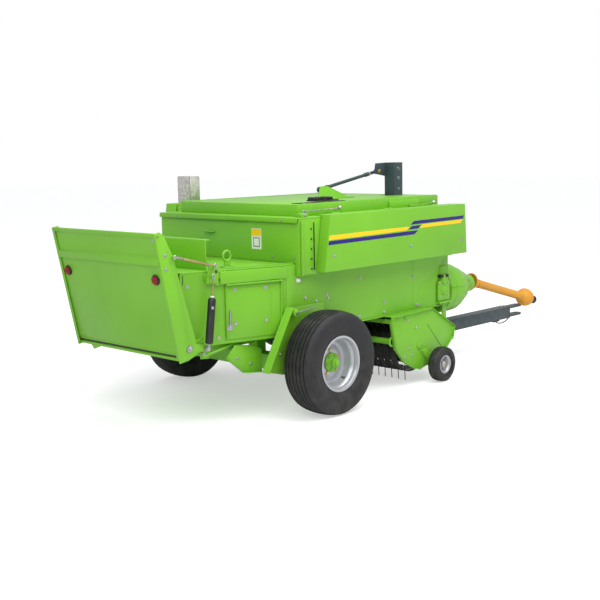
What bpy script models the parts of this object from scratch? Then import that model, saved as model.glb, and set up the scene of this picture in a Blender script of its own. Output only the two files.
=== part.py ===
"""Trailed square baler: welded sheet-steel body on two wheels, full-width pick-up, rear bale ramp,
drawbar and drive shaft. Metres, +X forwards, +Y to the left, +Z up. The design is drawn from the axle:
x is zero on the wheel axis, y on the machine's middle plane and z on the ground."""

from math import atan, atan2, cos, radians, sin, tan

import bmesh
import bpy
from mathutils import Matrix, Vector

# Fits
GAP = 0.0003  # between pieces that touch
RUNNING_GAP = 0.0005  # round a shaft in its bore
CLEARANCE = 0.006  # between pieces that pass each other

# Body
BODY_FRONT = 1.88
BODY_BEND = -0.28  # where the side walls turn in towards the chamber
CHAMBER_REAR = -1.15
BODY_HALF_WIDTH = 0.80
CHAMBER_REAR_HALF_WIDTH = 0.546
WALL = 0.012
FLOOR_HEIGHT = 0.65
CHAMBER_HEIGHT = 0.56
FLOOR_FRONT = 0.80

# Upper body
UPPER_REAR = -0.18
UPPER_HALF_WIDTH = 0.85
UPPER_BOTTOM = 1.12
DECK_HEIGHT = 1.570
DECK_THICKNESS = 0.014
DECK_OVERHANG = 0.022
DECK_FRONT = 1.92
TIER_REAR = -0.06
TIER_FRONT = 1.84
TIER_HALF_WIDTH = 0.72
TIER_HEIGHT = 0.095

# Hoods over the side drives
HOOD_REAR = 0.08
HOOD_FRONT = 1.95
HOOD_SLANT = 0.07
HOOD_DEPTH = 0.455
HOOD_REACH = 0.10  # how far the hood stands out from the upper side
HOOD_SHEET = 0.008
HOOD_FLANGE = 0.012
HOOD_TOE = 0.03  # how far the hood's lower front corner runs ahead of the upper one
LEFT_HOOD_REAR = 0.0
LEFT_HOOD_REACH = 0.15
LEFT_HOOD_RISE = 0.055  # the left hood stands on a curb of this height
SIGN_SETBACK = 0.14  # from the left hood's rear end to the sign plate
SIGN_WIDTH = 0.172
SIGN_DEPTH = 0.12
SIGN_HEIGHT = 0.245
SIGN_SHEET = 0.004

# Wheels
TRACK = 2.00
TYRE_DIAMETER = 0.845
TYRE_WIDTH = 0.29
RIM_RADIUS = 0.2145
RIM_WIDTH = 0.235
WHEEL_SIDES = 40
STUB_RADIUS = 0.03
STUB_END = -0.032  # the stub's outer end, from the wheel's middle plane, outboard negative
LEFT_WHEEL_AHEAD = 0.20  # the left wheel runs this far ahead of the right one

# Pick-up
REEL_X = 1.32
REEL_Z = 0.352
TINE_TIP_RADIUS = 0.335
TINE_BARS = 4
TINES_A_BAR = 20
TINE_THICKNESS = 0.008
REEL_HALF_WIDTH = 0.775
SHIELD_Y = 0.885
SHIELD_THICKNESS = 0.008
BAND_RADIUS = 0.245
BAND_THICKNESS = 0.008
BAND_WIDTH = 0.056
BAND_BEAM = (0.985, 0.605)
PICKUP_PIVOT = (1.12, 0.625)
PICKUP_PIN_RADIUS = 0.012
PICKUP_TUBE = (0.945, 0.435)
PICKUP_TUBE_RADIUS = 0.026
GAUGE_X = 1.52
GAUGE_Y = 1.00
GAUGE_DIAMETER = 0.318
GAUGE_WIDTH = 0.10
GAUGE_Z = GAUGE_DIAMETER / 2 + 0.002

# Driveline and drawbar, on a line to the right of the middle
DRIVE_Y = -0.50
DRIVE_Z = 0.75
GUARD_RADIUS = 0.235
GUARD_DRUM_FRONT = 2.29
GUARD_FRONT = 2.665
COLLAR_RADIUS = 0.085
SHAFT_SLOPE = 15
SHAFT_LENGTH = 1.18
SHAFT_GUARD_RADIUS = 0.043
INNER_RADIUS = 0.036
CROSS_RADIUS = 0.022
DRAWBAR_TOP = 0.425
DRAWBAR_DEPTH = 0.12
DRAWBAR_WIDTH = 0.12
DRAWBAR_REAR = 2.02
DRAWBAR_FRONT = 3.37
CLEVIS_LENGTH = 0.27

# Bale ramp, folded up
RAMP_PIN = (-1.17, 0.665)
RAMP_FOOT = (-1.245, 0.585)
RAMP_LENGTH = 0.975
RAMP_LEAN = 11.5
RAMP_HALF_WIDTH = 0.64
RAMP_SHEET = 0.010
HINGE_PIN_RADIUS = 0.012
STUD_RADIUS = 0.008
STAY_FRONT = (-0.915, 1.262)
STAY_REAR = (-1.30, 1.36)
STAY_Y = 0.680
STRUT_TOP = (-0.945, 1.19)
STRUT_FOOT = (-1.015, 0.650)
STRUT_Y = 0.690
BARREL_TOP = 0.142  # from the rod's pin down to the barrel

# Needle lever
LEVER_X = 1.71
LEVER_Y = -0.30
LEVER_PIVOT_Z = 1.20
LEVER_TOP = 1.985
LEVER_WIDTH = 0.12
LINK_REAR = (0.76, 1.762)
LINK_FRONT = (1.56, 1.905)
LINK_Y = -0.215
LEVER_SWINGS = 8

RAMP_FLANGE = 0.020  # how far the ramp's edges stand out behind it
YOKE_REACH = 0.06  # how far the yoke stands out of the shaft's guard
YOKE_RADIUS = 0.045
REAR_END = RAMP_FOOT[0] - RAMP_LENGTH * sin(radians(RAMP_LEAN)) - RAMP_FLANGE * cos(radians(RAMP_LEAN))
SHAFT_START = GUARD_FRONT + 0.075
FRONT_END = (
    SHAFT_START
    + (SHAFT_LENGTH + YOKE_REACH) * cos(radians(SHAFT_SLOPE))
    + YOKE_RADIUS * sin(radians(SHAFT_SLOPE))
)
AXLE_X = -(REAR_END + FRONT_END) / 2  # the row's origin lies under the middle of the object's length

GREEN = (0.20, 0.53, 0.055, 1)
GREY = (0.058, 0.084, 0.102, 1)
BLACK = (0.012, 0.012, 0.013, 1)
RUBBER = (0.018, 0.018, 0.020, 1)
SILVER = (0.62, 0.63, 0.66, 1)
ZINC = (0.55, 0.53, 0.50, 1)
ORANGE = (0.82, 0.36, 0.035, 1)
RED = (0.35, 0.008, 0.010, 1)


def clear_scene():
    for old in list(bpy.data.objects):
        bpy.data.objects.remove(old, do_unlink=True)


def collection(name):
    group = bpy.data.collections.new(name)
    bpy.context.scene.collection.children.link(group)
    return group


clear_scene()
PARTS = collection("square_baler")


def material(name, colour, roughness, metallic=0.0):
    made = bpy.data.materials.new(name)
    made.use_nodes = True
    shader = made.node_tree.nodes["Principled BSDF"]
    shader.inputs["Base Color"].default_value = colour
    shader.inputs["Roughness"].default_value = roughness
    shader.inputs["Metallic"].default_value = metallic
    made.diffuse_color = colour
    return made


PAINT_GREEN = material("paint_green", GREEN, 0.35)
PAINT_GREY = material("paint_grey", GREY, 0.45)
PAINT_BLACK = material("paint_black", BLACK, 0.4)
TYRE = material("tyre", RUBBER, 0.85)
RIM_SILVER = material("rim_silver", SILVER, 0.35, 0.6)
ZINC_STEEL = material("zinc_steel", ZINC, 0.35, 0.9)
GUARD_ORANGE = material("guard_orange", ORANGE, 0.45)
LAMP_RED = material("lamp_red", RED, 0.25)


# Shapes


def adopt(obj):
    for group in list(obj.users_collection):
        group.objects.unlink(obj)
    PARTS.objects.link(obj)
    return obj


def block(low, high):
    """A box between two corners."""
    bpy.ops.mesh.primitive_cube_add(size=1)
    obj = adopt(bpy.context.object)
    size = [b - a for a, b in zip(low, high)]
    obj.data.transform(Matrix.Diagonal((*size, 1)))
    obj.location = [(a + b) / 2 for a, b in zip(low, high)]
    return obj


def rod(start, end, radius, sides=16):
    """A round bar from start to end."""
    along = Vector(end) - Vector(start)
    bpy.ops.mesh.primitive_cylinder_add(radius=radius, depth=along.length, vertices=sides)
    obj = adopt(bpy.context.object)
    obj.rotation_euler = along.to_track_quat("Z", "Y").to_euler()
    obj.location = (Vector(start) + Vector(end)) / 2
    return obj


PLANES = {
    "XY": Matrix.Identity(3),
    "XZ": Matrix(((1, 0, 0), (0, 0, -1), (0, 1, 0))),
    "YZ": Matrix(((0, 0, 1), (1, 0, 0), (0, 1, 0))),
}


def plate(outline, plane, low, high):
    """A flat outline drawn in a plane, filling from low to high across it."""
    curve = bpy.data.curves.new("outline", "CURVE")
    curve.dimensions = "2D"
    curve.fill_mode = "BOTH"
    curve.extrude = (high - low) / 2
    spline = curve.splines.new("POLY")
    spline.points.add(len(outline) - 1)
    for point, (a, b) in zip(spline.points, outline):
        point.co = (a, b, 0, 1)
    spline.use_cyclic_u = True
    drawn = adopt(bpy.data.objects.new("outline", curve))
    bpy.context.view_layer.update()
    graph = bpy.context.evaluated_depsgraph_get()
    mesh = bpy.data.meshes.new_from_object(drawn.evaluated_get(graph))
    bpy.data.objects.remove(drawn)
    weld(mesh)
    turn = PLANES[plane]
    middle = (low + high) / 2
    mesh.transform(turn.to_4x4())
    # Drawn in XZ, the outline's own normal points along -Y.
    mesh.transform(Matrix.Translation(turn @ Vector((0, 0, -middle if plane == "XZ" else middle))))
    return adopt(bpy.data.objects.new("plate", mesh))


def weld(mesh):
    work = bmesh.new()
    work.from_mesh(mesh)
    bmesh.ops.remove_doubles(work, verts=work.verts, dist=1e-5)
    bmesh.ops.recalc_face_normals(work, faces=work.faces)
    work.to_mesh(mesh)
    work.free()


def turned(profile, at, axis, steps=32):
    """A profile of (radius, place along the axis) turned round an axis through a point. The profile runs from
    the axis out and back to the axis, or is a ring that closes on itself."""
    mesh = bpy.data.meshes.new("profile")
    points = [(r, 0, h) for r, h in profile]
    edges = [(i, i + 1) for i in range(len(points) - 1)]
    if profile[0][0] > 0:
        edges.append((len(points) - 1, 0))
    mesh.from_pydata(points, edges, [])
    obj = adopt(bpy.data.objects.new("turned", mesh))
    screw = obj.modifiers.new("turn", "SCREW")
    screw.steps = screw.render_steps = steps
    screw.use_merge_vertices = True
    screw.merge_threshold = 1e-5
    bake(obj)
    weld(obj.data)
    obj.rotation_euler = Vector(axis).to_track_quat("Z", "Y").to_euler()
    obj.location = at
    return obj


def bake(obj):
    """Applies the object's modifiers to its mesh."""
    bpy.context.view_layer.update()
    graph = bpy.context.evaluated_depsgraph_get()
    mesh = bpy.data.meshes.new_from_object(obj.evaluated_get(graph))
    obj.modifiers.clear()
    obj.data = mesh


def combine(base, others, operation):
    for other in others:
        step = base.modifiers.new(operation.lower(), "BOOLEAN")
        step.operation = operation
        step.object = other
    bake(base)
    for other in others:
        bpy.data.objects.remove(other)
    return base


def merge_flat_faces(mesh):
    """Joins the slivers that a Boolean leaves in a flat face into whole faces."""
    work = bmesh.new()
    work.from_mesh(mesh)
    bmesh.ops.remove_doubles(work, verts=work.verts, dist=1e-5)
    bmesh.ops.dissolve_limit(work, angle_limit=radians(0.05), verts=work.verts, edges=work.edges)
    bmesh.ops.triangulate(work, faces=work.faces, quad_method="BEAUTY", ngon_method="BEAUTY")
    work.to_mesh(mesh)
    work.free()


def union(base, *others):
    return combine(base, others, "UNION")


def cut(base, *cutters):
    return combine(base, cutters, "DIFFERENCE")


def name_node(obj, name, finish, smooth=False):
    obj.name = name
    obj.data.name = name
    obj.data.materials.clear()
    obj.data.materials.append(finish)
    if smooth:
        obj.data.shade_smooth()
        obj.data.set_sharp_from_angle(angle=radians(35))
    return obj


def joint_empty(name, at):
    """An empty on a joint's axis, which carries the pieces that move there."""
    empty = bpy.data.objects.new(name, None)
    empty.location = at
    PARTS.objects.link(empty)
    return empty


def carry(empty, *pieces):
    for piece in pieces:
        piece.parent = empty
        piece.location = Vector(piece.location) - Vector(empty.location)


def mirrored(obj, name):
    """The same piece on the left side."""
    mesh = obj.data.copy()
    place = obj.matrix_basis
    mesh.transform(place)
    mesh.transform(Matrix.Scale(-1, 4, (0, 1, 0)))
    mesh.flip_normals()
    twin = adopt(bpy.data.objects.new(name, mesh))
    centre = Vector(obj.location)
    centre.y = -centre.y
    mesh.transform(Matrix.Translation(-centre))
    twin.location = centre
    mesh.name = name
    return twin


def pair(obj, stem, finish, smooth=False):
    """Names a right-hand piece and makes its left-hand twin."""
    name_node(obj, stem + "_right", finish, smooth)
    twin = mirrored(obj, stem + "_left")
    return [obj, twin]


# Body


def chamber_half_width(x, inset=0.0):
    """The outer half width of the tapering chamber at a place along the machine."""
    share = (BODY_BEND - x) / (BODY_BEND - CHAMBER_REAR)
    return BODY_HALF_WIDTH - share * (BODY_HALF_WIDTH - CHAMBER_REAR_HALF_WIDTH) - inset


CHAMBER_TOP = FLOOR_HEIGHT + CHAMBER_HEIGHT
DECK_TOP = DECK_HEIGHT + DECK_THICKNESS
TAPER_SLOPE = (BODY_HALF_WIDTH - CHAMBER_REAR_HALF_WIDTH) / (BODY_BEND - CHAMBER_REAR)


def side_walls():
    top = DECK_HEIGHT - GAP
    outline = [
        (BODY_BEND, FLOOR_HEIGHT),
        (BODY_FRONT, FLOOR_HEIGHT),
        (BODY_FRONT, top),
        (UPPER_REAR + WALL + GAP, top),
        (UPPER_REAR + WALL + GAP, CHAMBER_TOP),
        (BODY_BEND, CHAMBER_TOP),
    ]
    wall = plate(outline, "XZ", -BODY_HALF_WIDTH, -BODY_HALF_WIDTH + WALL)
    upper = block((UPPER_REAR + WALL + GAP, -UPPER_HALF_WIDTH, UPPER_BOTTOM), (BODY_FRONT, -BODY_HALF_WIDTH + 0.002, top))
    whole = union(wall, upper, *bearing_post(), *pickup_hanger())
    merge_flat_faces(whole.data)
    return pair(whole, "side_wall", PAINT_GREEN)


def pickup_hanger():
    """The lug and pin that the pick-up hangs from."""
    x, z = PICKUP_PIVOT
    y = -BODY_HALF_WIDTH
    lug = block((x - 0.04, y, z - 0.03), (x + 0.04, y + WALL, FLOOR_HEIGHT + 0.01))
    pin = rod((x, y + 0.004, z), (x, -SHIELD_Y - SHIELD_THICKNESS - 0.010, z), PICKUP_PIN_RADIUS, 16)
    return lug, pin


def chamber_sides():
    inner = WALL / cos(atan(TAPER_SLOPE))
    front = BODY_BEND - GAP
    outline = [
        (CHAMBER_REAR, -chamber_half_width(CHAMBER_REAR)),
        (front, -chamber_half_width(front)),
        (front, -chamber_half_width(front) + inner),
        (CHAMBER_REAR, -chamber_half_width(CHAMBER_REAR) + inner),
    ]
    side = plate(outline, "XY", FLOOR_HEIGHT, CHAMBER_TOP)
    rail_rear = CHAMBER_REAR + 0.295
    rail_out = 0.035
    rail = [
        (rail_rear, -chamber_half_width(rail_rear, -rail_out)),
        (front, -chamber_half_width(front, -0.012)),
        (front, -chamber_half_width(front, inner / 2)),
        (rail_rear, -chamber_half_width(rail_rear, inner / 2)),
    ]
    rail = plate(rail, "XY", CHAMBER_TOP - 0.095, CHAMBER_TOP)
    return pair(union(side, rail, *ramp_bracket(), *stay_bracket()), "chamber_side", PAINT_GREEN)


def chamber_floor():
    inner = WALL / cos(atan(TAPER_SLOPE)) + GAP
    corners = [
        (CHAMBER_REAR, chamber_half_width(CHAMBER_REAR, inner)),
        (BODY_BEND, chamber_half_width(BODY_BEND, inner)),
        (FLOOR_FRONT, chamber_half_width(BODY_BEND, inner)),
    ]
    outline = [(x, -y) for x, y in corners] + [(x, y) for x, y in reversed(corners)]
    return name_node(plate(outline, "XY", FLOOR_HEIGHT, FLOOR_HEIGHT + WALL), "chamber_floor", PAINT_GREEN)


def chamber_roof():
    corners = [
        (CHAMBER_REAR, chamber_half_width(CHAMBER_REAR)),
        (BODY_BEND, BODY_HALF_WIDTH),
        (UPPER_REAR, BODY_HALF_WIDTH),
    ]
    outline = [(x, -y) for x, y in corners] + [(x, y) for x, y in reversed(corners)]
    roof = plate(outline, "XY", CHAMBER_TOP + GAP, CHAMBER_TOP + GAP + WALL)
    return name_node(roof, "chamber_roof", PAINT_GREEN)


ROOF_TOP = CHAMBER_TOP + GAP + WALL


def rear_crown():
    """The upright plate across the chamber's roof, held by two gussets."""
    x, half, top = -0.92, 0.575, 1.455
    low = ROOF_TOP + GAP
    crown = block((x, -half, low), (x + WALL, half, top))
    gussets = []
    for y in (-WALL / 2, half - WALL):
        outline = [(x + 0.004, low), (x + 0.16, low), (x + 0.03, top), (x + 0.004, top)]
        gussets.append(plate(outline, "XZ", y, y + WALL))
    lip = block((x, -half, top - WALL), (x + 0.05, half, top))
    return name_node(union(crown, lip, *gussets), "rear_crown", PAINT_GREEN)


def lifting_eye():
    x, y = -0.69, -0.56
    low = ROOF_TOP + GAP
    eye = block((x - 0.03, y - 0.005, low), (x + 0.03, y + 0.005, low + 0.08))
    disc = rod((x, y - 0.005, low + 0.09), (x, y + 0.005, low + 0.09), 0.05, 24)
    hole = rod((x, y - 0.02, low + 0.09), (x, y + 0.02, low + 0.09), 0.028, 24)
    foot = block((x - 0.05, y - 0.03, low), (x + 0.05, y + 0.03, low + 0.008))
    return name_node(cut(union(eye, disc, foot), hole), "lifting_eye", PAINT_GREEN)


def upper_rear_wall():
    low, inside = ROOF_TOP + GAP, BODY_HALF_WIDTH + GAP
    half, top = UPPER_HALF_WIDTH, DECK_HEIGHT - GAP
    right = [(-half, UPPER_BOTTOM), (-inside, UPPER_BOTTOM), (-inside, low)]
    outline = right + [(-y, z) for y, z in reversed(right)] + [(half, top), (-half, top)]
    wall = plate(outline, "YZ", UPPER_REAR, UPPER_REAR + WALL)
    return name_node(wall, "upper_rear_wall", PAINT_GREEN)


def deck():
    low = (UPPER_REAR - DECK_OVERHANG, -UPPER_HALF_WIDTH, DECK_HEIGHT)
    high = (DECK_FRONT, UPPER_HALF_WIDTH, DECK_TOP)
    sheet = union(block(low, high), hood_curb())
    return name_node(cut(sheet, lever_slot(DECK_HEIGHT - 0.02, DECK_TOP + 0.02)), "deck", PAINT_GREEN)


def lever_slot(low, high):
    """The slot that the needle lever swings in."""
    back = LEVER_WIDTH / 2 + (DECK_TOP + TIER_HEIGHT - LEVER_PIVOT_Z) * tan(radians(LEVER_SWINGS)) + 0.025
    front = LEVER_WIDTH / 2 + 0.03
    side = LEVER_WIDTH / 2 + 0.02
    return block((LEVER_X - back, LEVER_Y - side, low), (LEVER_X + front, LEVER_Y + side, high))


def tier():
    """The raised part of the deck, an upturned tray."""
    low = DECK_TOP + GAP
    half = TIER_HALF_WIDTH
    top = low + TIER_HEIGHT
    tray = block((TIER_REAR, -half, low), (TIER_FRONT, half, top))
    hollow = block(
        (TIER_REAR + WALL, -half + WALL, low - 0.02), (TIER_FRONT - WALL, half - WALL, top - WALL)
    )
    return name_node(cut(tray, hollow, lever_slot(low - 0.02, top + 0.02)), "raised_deck", PAINT_GREEN)


def front_wall():
    half, top = BODY_HALF_WIDTH, DECK_HEIGHT - GAP
    tongue = DRAWBAR_TOP - DRAWBAR_DEPTH - 0.01
    outline = [(-half, FLOOR_HEIGHT), (DRIVE_Y - 0.14, FLOOR_HEIGHT), (DRIVE_Y - 0.11, tongue),
               (DRIVE_Y + 0.11, tongue), (DRIVE_Y + 0.14, FLOOR_HEIGHT), (half, FLOOR_HEIGHT), (half, top), (-half, top)]
    wall = plate(outline, "YZ", BODY_FRONT + GAP, BODY_FRONT + GAP + WALL)
    return name_node(wall, "front_wall", PAINT_GREEN)


def chamber_bulkhead():
    """The plunger at its rest, closing the bale tunnel's front end."""
    gap = 0.01
    half = BODY_HALF_WIDTH - WALL - gap
    low = FLOOR_HEIGHT + WALL + GAP
    plunger = block((FLOOR_FRONT - 0.32, -half, low), (FLOOR_FRONT - 0.02, half, CHAMBER_TOP - gap))
    return name_node(plunger, "plunger", PAINT_GREY)


def door_panel():
    """The bolted access panel on the chamber's right side, with a bent lip on top."""
    rear, front = -0.80, -0.33
    low, high = FLOOR_HEIGHT + 0.03, CHAMBER_TOP - 0.10
    outline = [
        (rear, -chamber_half_width(rear, -GAP)),
        (front, -chamber_half_width(front, -GAP)),
        (front, -chamber_half_width(front, -0.008)),
        (rear, -chamber_half_width(rear, -0.008)),
    ]
    return pair(plate(outline, "XY", low, high), "side_door", PAINT_GREEN)


def bearing_post():
    """The bearing plate at the right wall's front edge."""
    y = -BODY_HALF_WIDTH
    post = block((1.76, y - 0.010, FLOOR_HEIGHT + 0.01), (1.86, y + 0.002, 1.02))
    flange = rod((1.80, y, 0.90), (1.80, y - 0.035, 0.90), 0.045, 20)
    return post, flange


def axle_beam():
    y = BODY_HALF_WIDTH - GAP
    beam = block((-0.34, -y, 0.37), (-0.22, y, 0.49))
    riser = []
    for side in (-1, 1):
        centre = side * 0.45
        riser.append(block((-0.33, centre - 0.05, 0.48), (-0.23, centre + 0.05, FLOOR_HEIGHT - GAP)))
    return name_node(union(beam, *riser), "axle_beam", PAINT_GREEN)


def wheel_legs():
    y = -BODY_HALF_WIDTH - GAP
    outline = [(-0.30, 0.88), (-0.57, 0.41), (-0.34, 0.35), (0.10, 0.35), (0.16, 0.44), (0.14, 0.88)]
    leg = plate(outline, "XZ", y - WALL, y)
    flange_points = [(-0.29, 0.89), (-0.57, 0.405)]
    (x0, z0), (x1, z1) = flange_points
    thick = 0.010
    edge = [(x0, z0), (x1, z1), (x1 + thick, z1 - 0.004), (x0 + thick, z0 - 0.004)]
    flange = plate(edge, "XZ", y - 0.075, y - 0.002)
    stub = rod((0, y - 0.005, TYRE_DIAMETER / 2), (0, -TRACK / 2 + STUB_END, TYRE_DIAMETER / 2), STUB_RADIUS, 20)
    boss = rod((0, y - 0.005, TYRE_DIAMETER / 2), (0, y - 0.05, TYRE_DIAMETER / 2), 0.055, 20)
    legs = pair(union(leg, flange, stub, boss), "wheel_leg", PAINT_GREEN)
    legs[1].data.transform(Matrix.Translation((LEFT_WHEEL_AHEAD, 0, 0)))
    return legs


# Wheels


def tyre_profile():
    r, w = TYRE_DIAMETER / 2, TYRE_WIDTH
    bead = RIM_RADIUS + GAP
    half = RIM_WIDTH / 2 - 0.012
    one_side = [(bead, half), (r * 0.80, w * 0.50), (r * 0.91, w * 0.485), (r * 0.975, w * 0.41), (r, w * 0.22)]
    return [(radius, -place) for radius, place in one_side] + one_side[::-1]


def rim_profile():
    """The rim's section, outboard side at negative places; the disc stands near the middle."""
    r, half = RIM_RADIUS, RIM_WIDTH / 2
    bore = STUB_RADIUS + RUNNING_GAP
    return [
        (bore, -0.005),
        (0.105, -0.005),
        (0.165, 0.014),
        (r - 0.028, 0.006),
        (r - 0.026, -half + 0.03),
        (r - 0.008, -half + 0.012),
        (r - 0.008, -half),
        (r, -half),
        (r, half),
        (r - 0.008, half),
        (r - 0.022, half - 0.03),
        (r - 0.022, 0.022),
        (0.165, 0.022),
        (0.105, 0.004),
        (bore, 0.004),
    ]


def hub_profile():
    bore = STUB_RADIUS + RUNNING_GAP
    face = -0.005 - GAP
    return [
        (0, -0.085),
        (0.028, -0.085),
        (0.041, -0.072),
        (0.046, -0.040),
        (0.078, -0.034),
        (0.078, face),
        (bore, face),
        (bore, STUB_END - RUNNING_GAP),
        (0, STUB_END - RUNNING_GAP),
    ]


def wheels():
    for side, name in ((-1, "right"), (1, "left")):
        at = (LEFT_WHEEL_AHEAD if side > 0 else 0, side * TRACK / 2, TYRE_DIAMETER / 2)
        axis = (0, -side, 0)
        tyre = name_node(turned(tyre_profile(), at, axis, WHEEL_SIDES), "tyre_" + name, TYRE, True)
        rim = name_node(turned(rim_profile(), at, axis, WHEEL_SIDES), "rim_" + name, RIM_SILVER, True)
        hub = name_node(turned(hub_profile(), at, axis, 20), "hub_" + name, PAINT_GREEN, True)
        carry(joint_empty("wheel_axis_" + name, at), tyre, rim, hub)


# Pick-up


def shield_outline():
    """The octagonal side shield, from its top front corner round the back and the bottom."""
    return [
        (1.50, 0.672),
        (0.93, 0.655),
        (0.905, 0.59),
        (0.955, 0.37),
        (1.07, 0.24),
        (1.22, 0.155),
        (1.33, 0.125),
        (1.62, 0.19),
        (1.84, 0.36),
        (1.86, 0.46),
    ]


def pickup():
    pivot = joint_empty("pickup_pivot", (PICKUP_PIVOT[0], 0, PICKUP_PIVOT[1]))
    y = -SHIELD_Y
    shield = plate(shield_outline(), "XZ", y - SHIELD_THICKNESS, y)
    (x0, z0), (x1, z1) = (1.50, 0.672), (1.86, 0.46)
    lip = plate([(x0, z0), (x1, z1), (x1 + 0.01, z1 - 0.13), (x1, z1 - 0.13), (x1 - 0.012, z1 - 0.005),
                 (x0 - 0.004, z0 - 0.010)], "XZ", y - 0.001, y + 0.075)
    arm = plate([(1.34, 0.30), (1.42, 0.30), (GAUGE_X + 0.03, GAUGE_DIAMETER / 2 - 0.02),
                 (GAUGE_X - 0.03, GAUGE_DIAMETER / 2 - 0.02)], "XZ", y - 0.028, y - 0.004)
    axle_z = GAUGE_Z
    stub = rod((GAUGE_X, y - 0.01, axle_z), (GAUGE_X, -GAUGE_Y - 0.02, axle_z), 0.012, 12)
    px, pz = PICKUP_PIVOT
    hole = rod((px, y - 0.05, pz), (px, y + 0.05, pz), PICKUP_PIN_RADIUS + RUNNING_GAP, 16)
    shields = pair(cut(union(shield, lip, arm, stub), hole), "pickup_shield", PAINT_GREEN)

    inner = -SHIELD_Y + GAP
    tube = rod((PICKUP_TUBE[0], inner, PICKUP_TUBE[1]), (PICKUP_TUBE[0], -inner, PICKUP_TUBE[1]),
               PICKUP_TUBE_RADIUS, 12)
    name_node(tube, "pickup_tube", PAINT_GREEN, True)

    bands = stripper_bands()
    carry(pivot, *shields, tube, bands)

    reel_axis = joint_empty("reel_axis", (REEL_X, 0, REEL_Z))
    reel = tine_reel()
    carry(reel_axis, reel)
    reel_axis.parent = pivot
    reel_axis.location = Vector(reel_axis.location) - Vector(pivot.location)
    gauge_wheels(pivot)


def tine_places():
    step = 2 * (REEL_HALF_WIDTH - 0.04) / (TINES_A_BAR - 1)
    return [-REEL_HALF_WIDTH + 0.04 + step * i for i in range(TINES_A_BAR)]


def stripper_bands():
    """Curved bands that the tines pass between, each on a spoke from one beam behind them."""
    beam_x, beam_z = BAND_BEAM
    half = SHIELD_Y - GAP
    beam = block((beam_x - 0.025, -half, beam_z - 0.02), (beam_x + 0.025, half, beam_z + 0.02))
    spoke_angle = atan2(beam_z - REEL_Z, beam_x - REEL_X)
    outer, inner = BAND_RADIUS, BAND_RADIUS - BAND_THICKNESS
    offset = Vector((-sin(spoke_angle), cos(spoke_angle))) * BAND_THICKNESS / 2
    share = BAND_THICKNESS / 2 / outer

    def on_circle(radius, angle):
        return (REEL_X + radius * cos(angle), REEL_Z + radius * sin(angle))

    def arc(radius, first, last, count):
        return [on_circle(radius, first + (last - first) * i / count) for i in range(count + 1)]

    first, last = radians(65), radians(290)
    root = Vector(BAND_BEAM)
    outline = arc(outer, first, spoke_angle - share, 4) + [tuple(root - offset), tuple(root + offset)]
    outline += arc(outer, spoke_angle + share, last, 8) + arc(inner, last, first, 12)
    places = tine_places()
    pitch = places[1] - places[0]
    bands = [
        plate(outline, "XZ", y + pitch / 2 - BAND_WIDTH / 2, y + pitch / 2 + BAND_WIDTH / 2)
        for y in places[:-1]
    ]
    return name_node(union(beam, *bands), "stripper_bands", PAINT_BLACK)


def tine_reel():
    """The turning shaft with its end discs, tine bars and tines."""
    half = REEL_HALF_WIDTH
    end = SHIELD_Y - GAP
    pieces = [rod((REEL_X, -end, REEL_Z), (REEL_X, end, REEL_Z), 0.025, 12)]
    bar_circle = 0.155
    for y in (-half, half):
        pieces.append(rod((REEL_X, y - 0.005, REEL_Z), (REEL_X, y + 0.005, REEL_Z), 0.185, 16))
    for bar in range(TINE_BARS):
        angle = radians(-90 + bar * 360 / TINE_BARS)
        x, z = REEL_X + bar_circle * cos(angle), REEL_Z + bar_circle * sin(angle)
        pieces.append(rod((x, -half, z), (x, half, z), 0.014, 8))
        along = Vector((cos(angle), 0, sin(angle)))
        across = Vector((-sin(angle), 0, cos(angle))) * TINE_THICKNESS / 2
        for y in tine_places():
            root = Vector((x, y, z))
            tip = Vector((REEL_X, y, REEL_Z)) + along * TINE_TIP_RADIUS
            corners = [root - across, root + across, tip + across, tip - across]
            outline = [(p.x, p.z) for p in corners]
            if bar % 2 == 0:
                outline = outline[::-1]
            pieces.append(plate(outline, "XZ", y - TINE_THICKNESS / 2, y + TINE_THICKNESS / 2))
    return name_node(union(*pieces), "tine_reel", ZINC_STEEL)


def gauge_wheels(pivot):
    r, w = GAUGE_DIAMETER / 2, GAUGE_WIDTH / 2
    bore = 0.012 + RUNNING_GAP
    wheel = [(bore, -w * 0.5), (0.03, -w * 0.5), (0.035, -w * 0.2), (0.080, -w * 0.2), (0.086, -w * 0.8),
             (r * 0.80, -w), (r * 0.95, -w * 0.85), (r, -w * 0.4), (r, w * 0.4), (r * 0.95, w * 0.85),
             (r * 0.80, w), (0.086, w * 0.8), (0.03, w * 0.5), (bore, w * 0.5)]
    for side, name in ((-1, "right"), (1, "left")):
        at = (GAUGE_X, side * GAUGE_Y, GAUGE_Z)
        turned_wheel = name_node(turned(wheel, at, (0, -side, 0), 24), "gauge_wheel_" + name, TYRE, True)
        axis = joint_empty("gauge_axis_" + name, at)
        carry(axis, turned_wheel)
        axis.parent = pivot
        axis.location = Vector(axis.location) - Vector(pivot.location)


# Hoods and sign plate


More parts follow.
